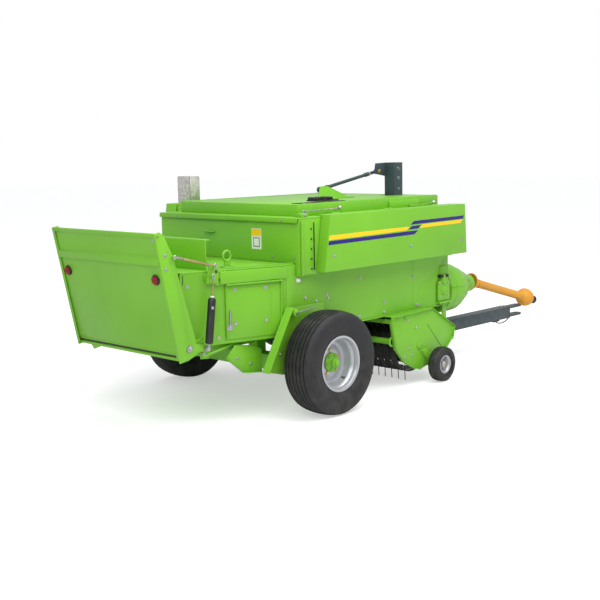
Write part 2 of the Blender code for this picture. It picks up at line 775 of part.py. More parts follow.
def hood(side, rear, reach, rise):
    """One side's hood: a sheet-metal box, open below and inboard, on a flange that turns along the deck's edge.
    It is drawn on the right and mirrored for the left, with side -1 or 1."""
    base = DECK_TOP + rise + GAP
    top = base + HOOD_FLANGE
    low = top - HOOD_DEPTH
    outer = -UPPER_HALF_WIDTH - reach
    corners = [(rear, top), (HOOD_FRONT, top), (HOOD_FRONT + HOOD_TOE, low), (rear - HOOD_SLANT, low)]
    inside = [
        (rear + HOOD_SHEET, top - HOOD_FLANGE),
        (HOOD_FRONT - HOOD_SHEET, top - HOOD_FLANGE),
        (HOOD_FRONT + HOOD_TOE - HOOD_SHEET, low - 0.05),
        (rear - HOOD_SLANT, low - 0.05),
    ]
    shell = plate(corners, "XZ", outer, -UPPER_HALF_WIDTH - CLEARANCE)
    hollow = plate(inside, "XZ", outer + HOOD_SHEET, -UPPER_HALF_WIDTH + 0.05)
    flange = block((rear, -UPPER_HALF_WIDTH - 0.02, base), (DECK_FRONT - 0.01, -BODY_HALF_WIDTH, top))
    piece = name_node(union(cut(shell, hollow), flange), "hood_right", PAINT_GREEN)
    if side > 0:
        drawn = piece
        drawn.name = "drawn"
        piece = mirrored(drawn, "hood_left")
        bpy.data.objects.remove(drawn)
    hinge = ((rear + HOOD_FRONT) / 2, side * BODY_HALF_WIDTH, base)
    carry(joint_empty(piece.name + "_hinge", hinge), piece)
    return piece


def hoods():
    hood(-1, HOOD_REAR, HOOD_REACH, 0.0)
    return hood(1, LEFT_HOOD_REAR, LEFT_HOOD_REACH, LEFT_HOOD_RISE)


def hood_curb():
    """The curb along the deck's left edge that the left hood turns on."""
    low, high = DECK_TOP - 0.004, DECK_TOP + LEFT_HOOD_RISE
    return block((LEFT_HOOD_REAR, BODY_HALF_WIDTH, low), (DECK_FRONT - 0.01, UPPER_HALF_WIDTH, high))


def sign_plate(carrier):
    """The folded marker plate that stands on the left hood."""
    base = DECK_TOP + LEFT_HOOD_RISE + 2 * GAP + HOOD_FLANGE
    top = base + SIGN_HEIGHT
    outer, x = UPPER_HALF_WIDTH + LEFT_HOOD_REACH, LEFT_HOOD_REAR + SIGN_SETBACK
    inner = outer - SIGN_WIDTH
    back = block((x, inner, base), (x + SIGN_SHEET, outer, top))
    side = block((x, inner, base), (x + SIGN_DEPTH, inner + SIGN_SHEET, top))
    sign = name_node(union(back, side), "sign_plate", ZINC_STEEL)
    sign.parent = carrier.parent
    sign.location = Vector(sign.location) - Vector(carrier.parent.location)


# Driveline, drawbar and jack


def driveline():
    y, z = DRIVE_Y, DRIVE_Z
    wall_x = BODY_FRONT + WALL + 2 * GAP
    gearbox = block((wall_x, y - 0.14, z - 0.14), (wall_x + 0.16, y + 0.14, z + 0.14))
    name_node(gearbox, "gearbox", PAINT_GREY)
    start = wall_x + 0.16 + GAP
    profile = [(0, start), (GUARD_RADIUS - 0.02, start), (GUARD_RADIUS, start + 0.03),
               (GUARD_RADIUS, GUARD_DRUM_FRONT - 0.02), (GUARD_RADIUS - 0.02, GUARD_DRUM_FRONT),
               (COLLAR_RADIUS + 0.015, GUARD_FRONT - 0.06), (COLLAR_RADIUS, GUARD_FRONT - 0.05),
               (COLLAR_RADIUS, GUARD_FRONT), (0, GUARD_FRONT)]
    guard = turned(profile, (0, y, z), (1, 0, 0), 32)
    neck = rod((GUARD_FRONT - 0.01, y, z), (SHAFT_START, y, z), 0.016, 12)
    cross = rod((SHAFT_START, y - 0.028, z), (SHAFT_START, y + 0.028, z), CROSS_RADIUS, 16)
    name_node(union(guard, neck, cross), "flywheel_guard", PAINT_GREEN, True)

    along = Vector((cos(radians(SHAFT_SLOPE)), 0, -sin(radians(SHAFT_SLOPE))))
    origin = Vector((SHAFT_START, y, z))
    inner_end = SHAFT_LENGTH * 0.70
    inner = [(0, 0.0), (0.036, 0.0), (0.080, -0.035), (0.086, -0.035), (0.050, 0.060), (INNER_RADIUS, 0.085),
             (INNER_RADIUS, inner_end), (0, inner_end)]
    socket = rod((SHAFT_START, y - 0.1, z), (SHAFT_START, y + 0.1, z), CROSS_RADIUS + RUNNING_GAP, 16)
    name_node(cut(turned(inner, origin, along, 24), socket), "shaft_inner", GUARD_ORANGE, True)
    bore = INNER_RADIUS + RUNNING_GAP
    r, length = SHAFT_GUARD_RADIUS, SHAFT_LENGTH
    outer = [(bore, 0.092), (r, 0.092), (r, length - 0.20), (0.095, length - 0.17), (0.100, length - 0.10),
             (0.090, length), (0.075, length), (0.075, length - 0.14), (bore, length - 0.15)]
    name_node(turned(outer, origin, along, 24), "shaft_outer", GUARD_ORANGE, True)
    yoke = [(0, length - 0.30), (INNER_RADIUS, length - 0.30), (INNER_RADIUS, length - 0.13),
            (YOKE_RADIUS, length - 0.04), (YOKE_RADIUS, length + YOKE_REACH), (0, length + YOKE_REACH)]
    name_node(turned(yoke, origin, along, 16), "shaft_yoke", PAINT_BLACK, True)


def drawbar():
    half, top, low = DRAWBAR_WIDTH / 2, DRAWBAR_TOP, DRAWBAR_TOP - DRAWBAR_DEPTH
    beam = block((DRAWBAR_REAR, DRIVE_Y - half, low), (DRAWBAR_FRONT, DRIVE_Y + half, top))
    ears = []
    for z in (low + 0.004, top - 0.026):
        outline = [(DRAWBAR_FRONT - 0.02, DRIVE_Y - 0.045), (DRAWBAR_FRONT + CLEVIS_LENGTH - 0.03, DRIVE_Y - 0.045),
                   (DRAWBAR_FRONT + CLEVIS_LENGTH, DRIVE_Y - 0.02), (DRAWBAR_FRONT + CLEVIS_LENGTH, DRIVE_Y + 0.02),
                   (DRAWBAR_FRONT + CLEVIS_LENGTH - 0.03, DRIVE_Y + 0.045), (DRAWBAR_FRONT - 0.02, DRIVE_Y + 0.045)]
        ears.append(plate(outline, "XY", z, z + 0.022))
    hole = rod((DRAWBAR_FRONT + CLEVIS_LENGTH - 0.06, DRIVE_Y, low - 0.05),
               (DRAWBAR_FRONT + CLEVIS_LENGTH - 0.06, DRIVE_Y, top + 0.05), 0.0165, 20)
    beam = cut(union(beam, *ears), hole)
    name_node(beam, "drawbar", PAINT_GREY)

    x0 = BODY_FRONT + WALL + 2 * GAP
    side = DRIVE_Y
    cheeks = []
    for s in (-1, 1):
        y_in, y_out = side + s * (half + GAP), side + s * (half + 0.016)
        outline = [(x0, 0.60), (x0, low - 0.01), (DRAWBAR_REAR + 0.16, low - 0.01),
                   (DRAWBAR_REAR + 0.16, top + 0.02), (x0 + 0.12, top + 0.04), (x0 + 0.06, 0.60)]
        low_y, high_y = sorted((y_in, y_out))
        cheeks.append(plate(outline, "XZ", low_y, high_y))
    back = block((x0, side - half - 0.014, low), (x0 + 0.014, side + half + 0.014, 0.59))
    name_node(union(back, *cheeks), "drawbar_bracket", PAINT_GREEN)

    jack_x, jack_y = DRAWBAR_REAR + 0.07, DRIVE_Y + half + 0.016 + GAP + 0.035
    sleeve = block((jack_x - 0.035, jack_y - 0.035, 0.24), (jack_x + 0.035, jack_y + 0.035, 0.50))
    hollow = block((jack_x - 0.029, jack_y - 0.029, 0.20), (jack_x + 0.029, jack_y + 0.029, 0.485))
    name_node(cut(sleeve, hollow), "jack_sleeve", PAINT_GREY)
    leg_half = 0.029 - RUNNING_GAP
    leg = block((jack_x - leg_half, jack_y - leg_half, 0.006), (jack_x + leg_half, jack_y + leg_half, 0.30))
    foot = block((jack_x - 0.09, jack_y - 0.09, 0.0), (jack_x + 0.09, jack_y + 0.09, 0.010))
    name_node(union(leg, foot), "jack_leg", ZINC_STEEL)


# Ramp with its stays and struts


def ramp_point(height, depth):
    """A point of the ramp's section: up along the panel and out from its inner face."""
    lean = radians(RAMP_LEAN)
    x = RAMP_FOOT[0] - height * sin(lean) - depth * cos(lean)
    z = RAMP_FOOT[1] + height * cos(lean) - depth * sin(lean)
    return (x, z)


def ramp():
    pin_x, pin_z = RAMP_PIN
    hinge = joint_empty("ramp_hinge", (pin_x, 0, pin_z))
    at = ramp_point
    inner = RAMP_HALF_WIDTH - GAP
    length, sheet = RAMP_LENGTH, RAMP_SHEET
    fold = 0.07
    panel = plate([at(0, -0.028), at(0, -0.016), at(fold, sheet), at(length, sheet), at(length, 0), at(fold, 0)],
                  "XZ", -inner, inner)
    roll = plate([at(length - 0.03, sheet / 2), at(length - 0.03, 0.018), at(length, 0.018), at(length, sheet / 2)],
                 "XZ", -inner, inner)
    rail = plate([at(0.73, sheet / 2), at(0.735, 0.028), at(0.785, 0.028), at(0.80, sheet / 2)], "XZ", -inner, inner)
    panel = name_node(union(panel, roll, rail), "ramp_panel", PAINT_GREEN)

    y = -RAMP_HALF_WIDTH
    cheek = y - RAMP_SHEET
    outline = [at(-0.015, RAMP_FLANGE), at(length, RAMP_FLANGE), at(length, -0.030), at(length - 0.03, -0.062),
               at(0.77, -0.106), at(0.13, -0.165), at(-0.005, -0.155), at(-0.02, -0.06)]
    side = plate(outline, "XZ", cheek, y)
    tip_x, tip_z = STRUT_FOOT
    arm = plate([(pin_x - 0.02, pin_z + 0.05), (tip_x + 0.02, tip_z + 0.02), (tip_x + 0.02, tip_z - 0.02),
                 (pin_x - 0.02, pin_z - 0.055)], "XZ", cheek, y)
    foot_pin = rod((tip_x, y - 0.002, tip_z), (tip_x, cheek - 0.006, tip_z), 0.010, 12)
    lug = rod((STAY_REAR[0], y - 0.002, STAY_REAR[1]), (STAY_REAR[0], cheek - 0.014, STAY_REAR[1]), 0.014, 16)
    side = union(side, arm, foot_pin, lug)
    hole = rod((pin_x, y - 0.05, pin_z), (pin_x, y + 0.05, pin_z), HINGE_PIN_RADIUS + RUNNING_GAP, 16)
    sides = pair(cut(side, hole), "ramp_side", PAINT_GREEN)

    lamps = []
    for name, s in (("right", -1), ("left", 1)):
        x, z = at(0.625, sheet + GAP)
        out = (-cos(radians(RAMP_LEAN)), 0, -sin(radians(RAMP_LEAN)))
        lamp = turned([(0, 0), (0.040, 0), (0.040, 0.012), (0.030, 0.025), (0, 0.03)],
                      (x, s * (RAMP_HALF_WIDTH - 0.085), z), out, 16)
        lamps.append(name_node(lamp, "lamp_" + name, LAMP_RED, True))
    carry(hinge, panel, *sides, *lamps)


def wall_spacer(rear, front, out_y, low, high):
    """A block that fills from the slanting chamber side out to a plane."""
    outline = [(rear, -chamber_half_width(rear, 0.004)), (rear, -out_y), (front, -out_y),
               (front, -chamber_half_width(front, 0.004))]
    return plate(outline, "XY", low, high)


def ramp_bracket():
    """The pins that the ramp turns on, each on a cheek from the chamber's rear corner."""
    pin_x, pin_z = RAMP_PIN
    cheek_y = RAMP_HALF_WIDTH - 0.010
    spacer = wall_spacer(CHAMBER_REAR + 0.01, CHAMBER_REAR + 0.14, cheek_y - 0.002, FLOOR_HEIGHT + 0.01,
                         FLOOR_HEIGHT + 0.06)
    cheek = plate([(pin_x - 0.028, pin_z - 0.02), (CHAMBER_REAR + 0.14, FLOOR_HEIGHT - 0.01),
                   (CHAMBER_REAR + 0.14, FLOOR_HEIGHT + 0.08), (pin_x - 0.028, pin_z + 0.03)], "XZ",
                  -cheek_y, -cheek_y + 0.012)
    pin = rod((pin_x, -cheek_y + 0.004, pin_z), (pin_x, -RAMP_HALF_WIDTH - RAMP_SHEET - 0.012, pin_z),
              HINGE_PIN_RADIUS, 16)
    return cheek, spacer, pin


def stay_bracket():
    """The cheek with the two studs that hold the stay and the strut's rod."""
    cheek_y = 0.640
    spacer = wall_spacer(-0.97, -0.86, cheek_y + 0.002, CHAMBER_TOP - 0.07, CHAMBER_TOP - 0.01)
    cheek = plate([(-0.985, 1.13), (-0.86, 1.13), (-0.87, 1.29), (-0.94, 1.29)], "XZ", -cheek_y - 0.012, -cheek_y)
    top_x, top_z = STRUT_TOP
    stud = rod((top_x, -cheek_y - 0.004, top_z), (top_x, -STRUT_Y - 0.014, top_z), STUD_RADIUS, 12)
    ball = rod((STAY_FRONT[0], -cheek_y - 0.004, STAY_FRONT[1]),
               (STAY_FRONT[0], -STAY_Y - 0.014, STAY_FRONT[1]), STUD_RADIUS, 12)
    return cheek, spacer, stud, ball


def stays():
    """The turnbuckles that hold the ramp folded up."""
    y = -STAY_Y
    (x0, z0), (x1, z1) = STAY_FRONT, STAY_REAR
    bar = rod((x0 - 0.012, y, z0 + 0.012 * (z1 - z0) / (x0 - x1)), (x1, y, z1), 0.007, 12)
    third = [(x0 + (x1 - x0) * t, y, z0 + (z1 - z0) * t) for t in (0.30, 0.85)]
    sleeve = rod(third[0], third[1], 0.011, 12)
    front = rod((x0, y - 0.008, z0), (x0, y + 0.008, z0), 0.020, 16)
    rear = rod((x1, y - 0.008, z1), (x1, y + 0.008, z1), 0.018, 16)
    bore = rod((x0, y - 0.03, z0), (x0, y + 0.03, z0), STUD_RADIUS + RUNNING_GAP, 12)
    stay = cut(union(bar, sleeve, front, rear), bore)
    right, left = pair(stay, "stay", ZINC_STEEL)
    for side, piece in ((-1, right), (1, left)):
        carry(joint_empty(piece.name + "_pivot", (x0, side * STAY_Y, z0)), piece)


def struts():
    """The damper between the chamber and the ramp's arm: its rod hangs from a stud, its barrel slides on the rod."""
    y = -STRUT_Y
    (x0, z0), (x1, z1) = STRUT_TOP, STRUT_FOOT
    down = Vector((x1 - x0, 0, z1 - z0))
    length = down.length
    down.normalize()
    top = Vector((x0, y, z0))
    rod_end = top + down * (length - 0.19)
    bar = rod(top + down * 0.012, rod_end, 0.006, 12)
    ring = rod((x0, y - 0.008, z0), (x0, y + 0.008, z0), 0.018, 16)
    bore = rod((x0, y - 0.03, z0), (x0, y + 0.03, z0), STUD_RADIUS + RUNNING_GAP, 12)
    right_rod, left_rod = pair(cut(union(bar, ring), bore), "strut_rod", ZINC_STEEL)
    bore_r = 0.006 + RUNNING_GAP
    barrel = [(0, length - 0.03), (0.030, length - 0.03), (0.030, 0.165), (0.014, 0.160), (0.014, BARREL_TOP),
              (bore_r, BARREL_TOP), (bore_r, length - 0.06), (0, length - 0.06)]
    barrel = [(r, -h) for r, h in barrel][::-1]
    body = turned(barrel, top, -down, 20)
    foot = rod((x1, y - 0.010, z1), (x1, y + 0.026, z1), 0.020, 16)
    neck = rod(Vector((x1, y, z1)), Vector((x1, y, z1)) - down * 0.05, 0.010, 12)
    right, left = pair(union(body, foot, neck), "strut_barrel", PAINT_BLACK, True)
    for side, pieces in ((-1, (right_rod, right)), (1, (left_rod, left))):
        carry(joint_empty(pieces[0].name + "_pivot", (x0, side * STRUT_Y, z0)), *pieces)


# Needle lever and its link on the deck


def needle_lever():
    y, half = LEVER_Y, LEVER_WIDTH / 2
    sheet = 0.010
    pivot = joint_empty("lever_pivot", (LEVER_X, y, LEVER_PIVOT_Z))
    channel = block((LEVER_X - half, y - half, LEVER_PIVOT_Z - 0.05), (LEVER_X + half, y + half, LEVER_TOP))
    hollow = block((LEVER_X - half + sheet, y - half + sheet, LEVER_PIVOT_Z - 0.06),
                   (LEVER_X + half + 0.01, y + half - sheet, LEVER_TOP + 0.01))
    hole = rod((LEVER_X, y - 0.2, LEVER_PIVOT_Z), (LEVER_X, y + 0.2, LEVER_PIVOT_Z), 0.025 + RUNNING_GAP, 20)
    head = plate([(LEVER_X - half - 0.16, LEVER_TOP - 0.10), (LEVER_X - half + 0.02, LEVER_TOP - 0.13),
                  (LEVER_X - half + 0.02, LEVER_TOP), (LEVER_X - half - 0.14, LEVER_TOP - 0.005)], "XZ",
                 y + half - sheet, y + half)
    x, z = LINK_FRONT
    stud = rod((x, y + half - 0.004, z), (x, LINK_Y + 0.016, z), 0.012, 16)
    lever = name_node(union(cut(channel, hollow, hole), head, stud), "needle_lever", PAINT_GREY)
    bore = rod((x, LINK_Y - 0.05, z), (x, LINK_Y + 0.05, z), 0.012 + RUNNING_GAP, 16)
    (x1, z1) = LINK_REAR
    bar = rod((x, LINK_Y, z), (x1, LINK_Y, z1), 0.016, 16)
    front = rod((x, LINK_Y - 0.012, z), (x, LINK_Y + 0.012, z), 0.028, 20)
    rear = rod((x1, LINK_Y - 0.012, z1), (x1, LINK_Y + 0.012, z1), 0.026, 20)
    link = name_node(cut(union(bar, front, rear), bore), "needle_link", PAINT_GREY, True)
    carry(joint_empty("link_pivot", (x, LINK_Y, z)), link)
    carry(pivot, lever)

    # The shaft that the lever turns on, between two hangers under the deck.
    shaft = rod((LEVER_X, y - half - 0.05, LEVER_PIVOT_Z), (LEVER_X, y + half + 0.05, LEVER_PIVOT_Z), 0.025, 20)
    hangers = [
        block((LEVER_X - 0.03, y + s * (half + 0.04) - 0.006, LEVER_PIVOT_Z - 0.04),
              (LEVER_X + 0.03, y + s * (half + 0.04) + 0.006, DECK_HEIGHT - GAP))
        for s in (-1, 1)
    ]
    name_node(union(shaft, *hangers), "lever_shaft", PAINT_GREY)


def link_bracket():
    """The triangular bracket that stands on the raised deck by the link's rear end."""
    floor = DECK_TOP + 2 * GAP + TIER_HEIGHT
    y = LINK_Y - 0.030
    cheek = plate([(0.70, floor), (1.13, floor), (0.82, LINK_REAR[1] + 0.03), (0.73, LINK_REAR[1] + 0.03)], "XZ",
                  y - 0.012, y)
    foot = block((0.70, y - 0.06, floor), (1.13, y - 0.004, floor + 0.010))
    stud = rod((LINK_REAR[0], y - 0.006, LINK_REAR[1]), (LINK_REAR[0], y + 0.010, LINK_REAR[1]), 0.012, 16)
    return name_node(union(cheek, foot, stud), "link_bracket", PAINT_GREEN)


def main():
    side_walls()
    chamber_sides()
    chamber_floor()
    chamber_roof()
    rear_crown()
    lifting_eye()
    upper_rear_wall()
    deck()
    tier()
    front_wall()
    chamber_bulkhead()
    door_panel()
    axle_beam()
    wheel_legs()
    wheels()
    pickup()
    sign_plate(hoods())
    driveline()
    drawbar()
    ramp()
    stays()
    struts()
    needle_lever()
    link_bracket()
    origin = bpy.data.objects.new("axle_point", None)
    PARTS.objects.link(origin)
    for obj in PARTS.objects:
        if obj.parent is None and obj is not origin:
            obj.parent = origin
    origin.location.x = AXLE_X


main()
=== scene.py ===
"""The looks of a trailed square baler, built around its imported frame.

It is laid out as an add-on and run as a script. Lengths are in metres.
"""

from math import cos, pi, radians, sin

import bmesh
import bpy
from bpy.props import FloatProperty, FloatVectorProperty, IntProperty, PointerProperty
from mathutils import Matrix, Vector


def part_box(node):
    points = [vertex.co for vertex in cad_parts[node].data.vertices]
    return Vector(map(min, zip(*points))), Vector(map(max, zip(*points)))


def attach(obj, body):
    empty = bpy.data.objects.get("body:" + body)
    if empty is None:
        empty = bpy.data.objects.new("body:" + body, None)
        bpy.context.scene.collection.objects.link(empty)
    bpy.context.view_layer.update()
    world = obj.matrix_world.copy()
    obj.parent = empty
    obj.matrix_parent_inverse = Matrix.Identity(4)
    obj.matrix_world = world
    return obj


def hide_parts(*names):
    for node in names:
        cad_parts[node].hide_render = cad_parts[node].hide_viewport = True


bl_info = {
    "name": "Square Baler Looks",
    "version": (1, 0, 0),
    "blender": (4, 5, 0),
    "location": "View3D > Sidebar > Baler",
    "description": "Makes the detailed pieces, paints and stage of a trailed square baler",
    "category": "Object",
}

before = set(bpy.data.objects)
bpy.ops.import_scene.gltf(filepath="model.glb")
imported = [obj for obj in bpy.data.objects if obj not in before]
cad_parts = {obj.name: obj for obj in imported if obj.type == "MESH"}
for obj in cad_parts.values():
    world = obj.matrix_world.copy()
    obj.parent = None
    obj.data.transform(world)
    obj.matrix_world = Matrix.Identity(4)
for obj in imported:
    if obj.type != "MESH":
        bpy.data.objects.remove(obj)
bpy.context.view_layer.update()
SIDES = ((-1, "right"), (1, "left"))
ACROSS = Vector((0, 1, 0))

# Where the main parts stand: x from the wheel axis, y from the middle plane, z from the ground
LEFT_WHEEL_AHEAD = 0.20
WALL_FACE, UPPER_FACE = 0.80, 0.85
CHAMBER_FRONT, CHAMBER_NARROW, CHAMBER_TAPER = -0.28, 0.546, 0.87
LEG_FACE = 0.8123
RIM_BORE, STUD_CIRCLE, CAP_CIRCLE = 0.031, 0.094, 0.064
GAUGE_RIM, GAUGE_BORE, GAUGE_STUD_CIRCLE = 0.078, 0.0128, 0.052
SHIELD_FACE = 0.893
OUTER_TINE, TINES, TINE_TIP = 0.735, 20, 0.341
TINE_PITCH = 2 * OUTER_TINE / (TINES - 1)
BAND_OUTER, BAND_INNER = 0.245, 0.239
RAMP_TURN = radians(11.5)
RAMP_FOOT = (-1.245, 0.585)
CHEEK_INNER, CHEEK_FACE = 0.640, 0.650
STAY_Y, STRUT_Y, LEVER_LINK_Y = 0.680, 0.690, -0.215
DRIVE_Y, DRIVE_Z = -0.50, 0.75
DRUM_END, DRUM_NOSE = 2.29, 2.665
SHAFT_START, SHAFT_LENGTH, SHAFT_SLOPE = 2.74, 1.18, radians(15)
YOKE_REACH = 0.06

# Points closer than these are one point: in a new shape, in a spun shape and in a shape from the frame
WELD, SPIN_WELD, FRAME_WELD = 1e-6, 1e-5, 2e-5

# Splashed dirt fades out between these two heights
SPLASH_FOOT, SPLASH_TOP = 0.05, 0.75

# The stage
SKY_LIGHT, FLOOR_GLOW = 0.66, 0.47
LAMPS = (
    # name, place, target, width, watts
    ("overhead_softbox", (-0.5, -3.0, 6.3), (0.0, 0.0, 0.5), 6.0, 330),
    ("rear_softbox", (-7.0, -4.0, 6.0), (0.0, 0.0, 1.0), 4.0, 200),
)
CAMERA_PLACE = (-5.993, -6.401, 2.088)
CAMERA_YAW, CAMERA_PITCH, CAMERA_ROLL = radians(43.69), radians(8.17), radians(-1.04)
CAMERA_LENS = 61.4


def middle(node):
    """The centre of a frame node's box."""
    low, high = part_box(node)
    return (low + high) / 2


AXLE = middle("tyre_right")


def place(x, y, z):
    """A point given from the wheel axis, the middle plane and the ground."""
    return Vector((AXLE.x + x, y, z))


# Settings


class BalerPaints(bpy.types.PropertyGroup):
    green: FloatVectorProperty(
        name="Green", description="Enamel of the sheet metal", subtype="COLOR", size=4,
        default=(0.185, 0.500, 0.026, 1), min=0, max=1)
    grey: FloatVectorProperty(
        name="Grey", description="Enamel of the drawbar and the needle lever", subtype="COLOR", size=4,
        default=(0.034, 0.054, 0.062, 1), min=0, max=1)
    orange: FloatVectorProperty(
        name="Orange", description="Plastic of the drive shaft's guard", subtype="COLOR", size=4,
        default=(0.780, 0.350, 0.016, 1), min=0, max=1)
    rubber: FloatVectorProperty(
        name="Rubber", description="Tyres", subtype="COLOR", size=4,
        default=(0.012, 0.012, 0.014, 1), min=0, max=1)
    silver: FloatVectorProperty(
        name="Silver", description="Lacquer of the rims", subtype="COLOR", size=4,
        default=(0.520, 0.530, 0.560, 1), min=0, max=1)
    navy: FloatVectorProperty(
        name="Navy", description="Dark stripes on the hoods", subtype="COLOR", size=4,
        default=(0.022, 0.012, 0.190, 1), min=0, max=1)
    yellow: FloatVectorProperty(
        name="Yellow", description="Light stripes on the hoods", subtype="COLOR", size=4,
        default=(1.0, 0.620, 0.010, 1), min=0, max=1)
    red: FloatVectorProperty(
        name="Red", description="Lenses of the rear lamps", subtype="COLOR", size=4,
        default=(0.270, 0.006, 0.010, 1), min=0, max=1)


class BalerSizes(bpy.types.PropertyGroup):
    edge: FloatProperty(
        name="Edge radius", description="Rounding on the edges of the sheet metal", unit="LENGTH",
        default=0.0035, min=0.0005, max=0.01)
    bolt: FloatProperty(
        name="Bolt head", description="Radius of a common bolt's head", unit="LENGTH",
        default=0.0085, min=0.004, max=0.02)
    groove_depth: FloatProperty(
        name="Groove depth", description="Depth of the tyres' grooves", unit="LENGTH",
        default=0.009, min=0.002, max=0.02)
    groove_width: FloatProperty(
        name="Groove width", description="Width of the tyres' grooves", unit="LENGTH",
        default=0.0065, min=0.002, max=0.02)
    wheel_steps: IntProperty(
        name="Wheel steps", description="Faces round a wheel", default=112, min=32, max=256)
    sticker: FloatProperty(
        name="Sticker thickness", description="How far stripes and labels stand proud", unit="LENGTH",
        default=0.0008, min=0.0002, max=0.003)


# Shader groups


def new_group(name, inputs, outputs):
    """An empty node group with its sockets, and its two end nodes."""
    group = bpy.data.node_groups.new(name, "ShaderNodeTree")
    for label, kind, default in inputs:
        socket = group.interface.new_socket(name=label, in_out="INPUT", socket_type=kind)
        socket.default_value = default
    for label, kind in outputs:
        group.interface.new_socket(name=label, in_out="OUTPUT", socket_type=kind)
    return group, group.nodes.new("NodeGroupInput"), group.nodes.new("NodeGroupOutput")


def noise(nodes, links, scale, detail, coordinates):
    """Cloudy noise. Its scale is a number or a socket."""
    made = nodes.new("ShaderNodeTexNoise")
    if isinstance(scale, (int, float)):
        made.inputs["Scale"].default_value = scale
    else:
        links.new(scale, made.inputs["Scale"])
    made.inputs["Detail"].default_value = detail
    made.inputs["Roughness"].default_value = 0.55
    links.new(coordinates, made.inputs["Vector"])
    return made.outputs["Fac"]


def remap(nodes, links, value, low, high, to_low=0.0, to_high=1.0):
    """A value's range stretched to another range, and held inside it."""
    made = nodes.new("ShaderNodeMapRange")
    made.inputs["From Min"].default_value = low
    made.inputs["From Max"].default_value = high
    made.inputs["To Min"].default_value = to_low
    made.inputs["To Max"].default_value = to_high
    links.new(value, made.inputs["Value"])
    return made.outputs["Result"]


def sums(nodes, links, operation, first, second):
    """One sum on two values, each a number or a socket."""
    made = nodes.new("ShaderNodeMath")
    made.operation = operation
    for socket, value in zip(made.inputs, (first, second)):
        if isinstance(value, (int, float)):
            socket.default_value = value
        else:
            links.new(value, socket)
    return made.outputs[0]


def mix_colour(nodes, links, share, first, second):
    """The second colour laid over the first by a share from 0 to 1."""
    made = nodes.new("ShaderNodeMix")
    made.data_type = "RGBA"
    links.new(share, made.inputs["Factor"])
    for socket, value in ((made.inputs[6], first), (made.inputs[7], second)):
        if isinstance(value, tuple):
            socket.default_value = value
        else:
            links.new(value, socket)
    return made.outputs[2]


def weathering_group():
    """Slow colour change, settled dust on what faces up, splashed dirt near the ground and orange peel."""
    group, start, end = new_group(
        "weathering",
        [("Color", "NodeSocketColor", (0.5, 0.5, 0.5, 1)), ("Variation", "NodeSocketFloat", 0.12),
         ("Dust", "NodeSocketFloat", 0.15), ("Dust Color", "NodeSocketColor", (0.40, 0.37, 0.30, 1)),
         ("Roughness", "NodeSocketFloat", 0.35), ("Peel Scale", "NodeSocketFloat", 240.0)],
        [("Color", "NodeSocketColor"), ("Roughness", "NodeSocketFloat"), ("Height", "NodeSocketFloat")])
    nodes, links = group.nodes, group.links
    where = nodes.new("ShaderNodeTexCoord").outputs["Object"]
    slow = noise(nodes, links, 1.7, 3, where)
    blotch = noise(nodes, links, 14.0, 5, where)
    fine = noise(nodes, links, 95.0, 4, where)
    change = remap(nodes, links, slow, 0.3, 0.7, -1, 1)
    change = sums(nodes, links, "MULTIPLY", change, start.outputs["Variation"])
    value = nodes.new("ShaderNodeHueSaturation")
    links.new(sums(nodes, links, "ADD", change, 1.0), value.inputs["Value"])
    links.new(start.outputs["Color"], value.inputs["Color"])
    facing = nodes.new("ShaderNodeSeparateXYZ")
    links.new(nodes.new("ShaderNodeNewGeometry").outputs["Normal"], facing.inputs[0])
    upward = remap(nodes, links, facing.outputs["Z"], 0.3, 1.0)
    height = nodes.new("ShaderNodeSeparateXYZ")
    links.new(where, height.inputs[0])
    low = remap(nodes, links, height.outputs["Z"], SPLASH_TOP, SPLASH_FOOT)
    settled = sums(nodes, links, "MAXIMUM", upward, low)
    broken = sums(nodes, links, "MULTIPLY", settled, remap(nodes, links, blotch, 0.40, 0.72))
    dust = sums(nodes, links, "MULTIPLY", broken, start.outputs["Dust"])
    dusted = mix_colour(nodes, links, dust, value.outputs[0], start.outputs["Dust Color"])
    links.new(dusted, end.inputs["Color"])
    patches = remap(nodes, links, blotch, 0.3, 0.7, -0.05, 0.07)
    worn = sums(nodes, links, "ADD", start.outputs["Roughness"], patches)
    matt = sums(nodes, links, "MULTIPLY", dust, 0.5)
    links.new(sums(nodes, links, "ADD", worn, matt), end.inputs["Roughness"])
    peel = noise(nodes, links, start.outputs["Peel Scale"], 2, where)
    links.new(sums(nodes, links, "ADD", peel, sums(nodes, links, "MULTIPLY", fine, 0.35)), end.inputs["Height"])
    return group


def wear_and_highlight_group():
    """A mask of rubbed edges and of painted edge highlights: one where the surface turns sharply, broken up by
    noise.
    """
    group, start, end = new_group(
        "rubbed_and_highlit_edges",
        [("Radius", "NodeSocketFloat", 0.004), ("Amount", "NodeSocketFloat", 0.5)],
        [("Mask", "NodeSocketFloat"), ("Normal", "NodeSocketVector")])
    nodes, links = group.nodes, group.links
    rounded = nodes.new("ShaderNodeBevel")
    rounded.samples = 4
    links.new(start.outputs["Radius"], rounded.inputs["Radius"])
    geometry = nodes.new("ShaderNodeNewGeometry")
    turn = nodes.new("ShaderNodeVectorMath")
    turn.operation = "DOT_PRODUCT"
    links.new(rounded.outputs[0], turn.inputs[0])
    links.new(geometry.outputs["Normal"], turn.inputs[1])
    edge = remap(nodes, links, turn.outputs["Value"], 0.995, 0.80)
    where = nodes.new("ShaderNodeTexCoord").outputs["Object"]
    broken = remap(nodes, links, noise(nodes, links, 38.0, 5, where), 0.48, 0.66)
    mask = sums(nodes, links, "MULTIPLY", sums(nodes, links, "MULTIPLY", edge, broken), start.outputs["Amount"])
    links.new(mask, end.inputs["Mask"])
    links.new(rounded.outputs[0], end.inputs["Normal"])
    return group


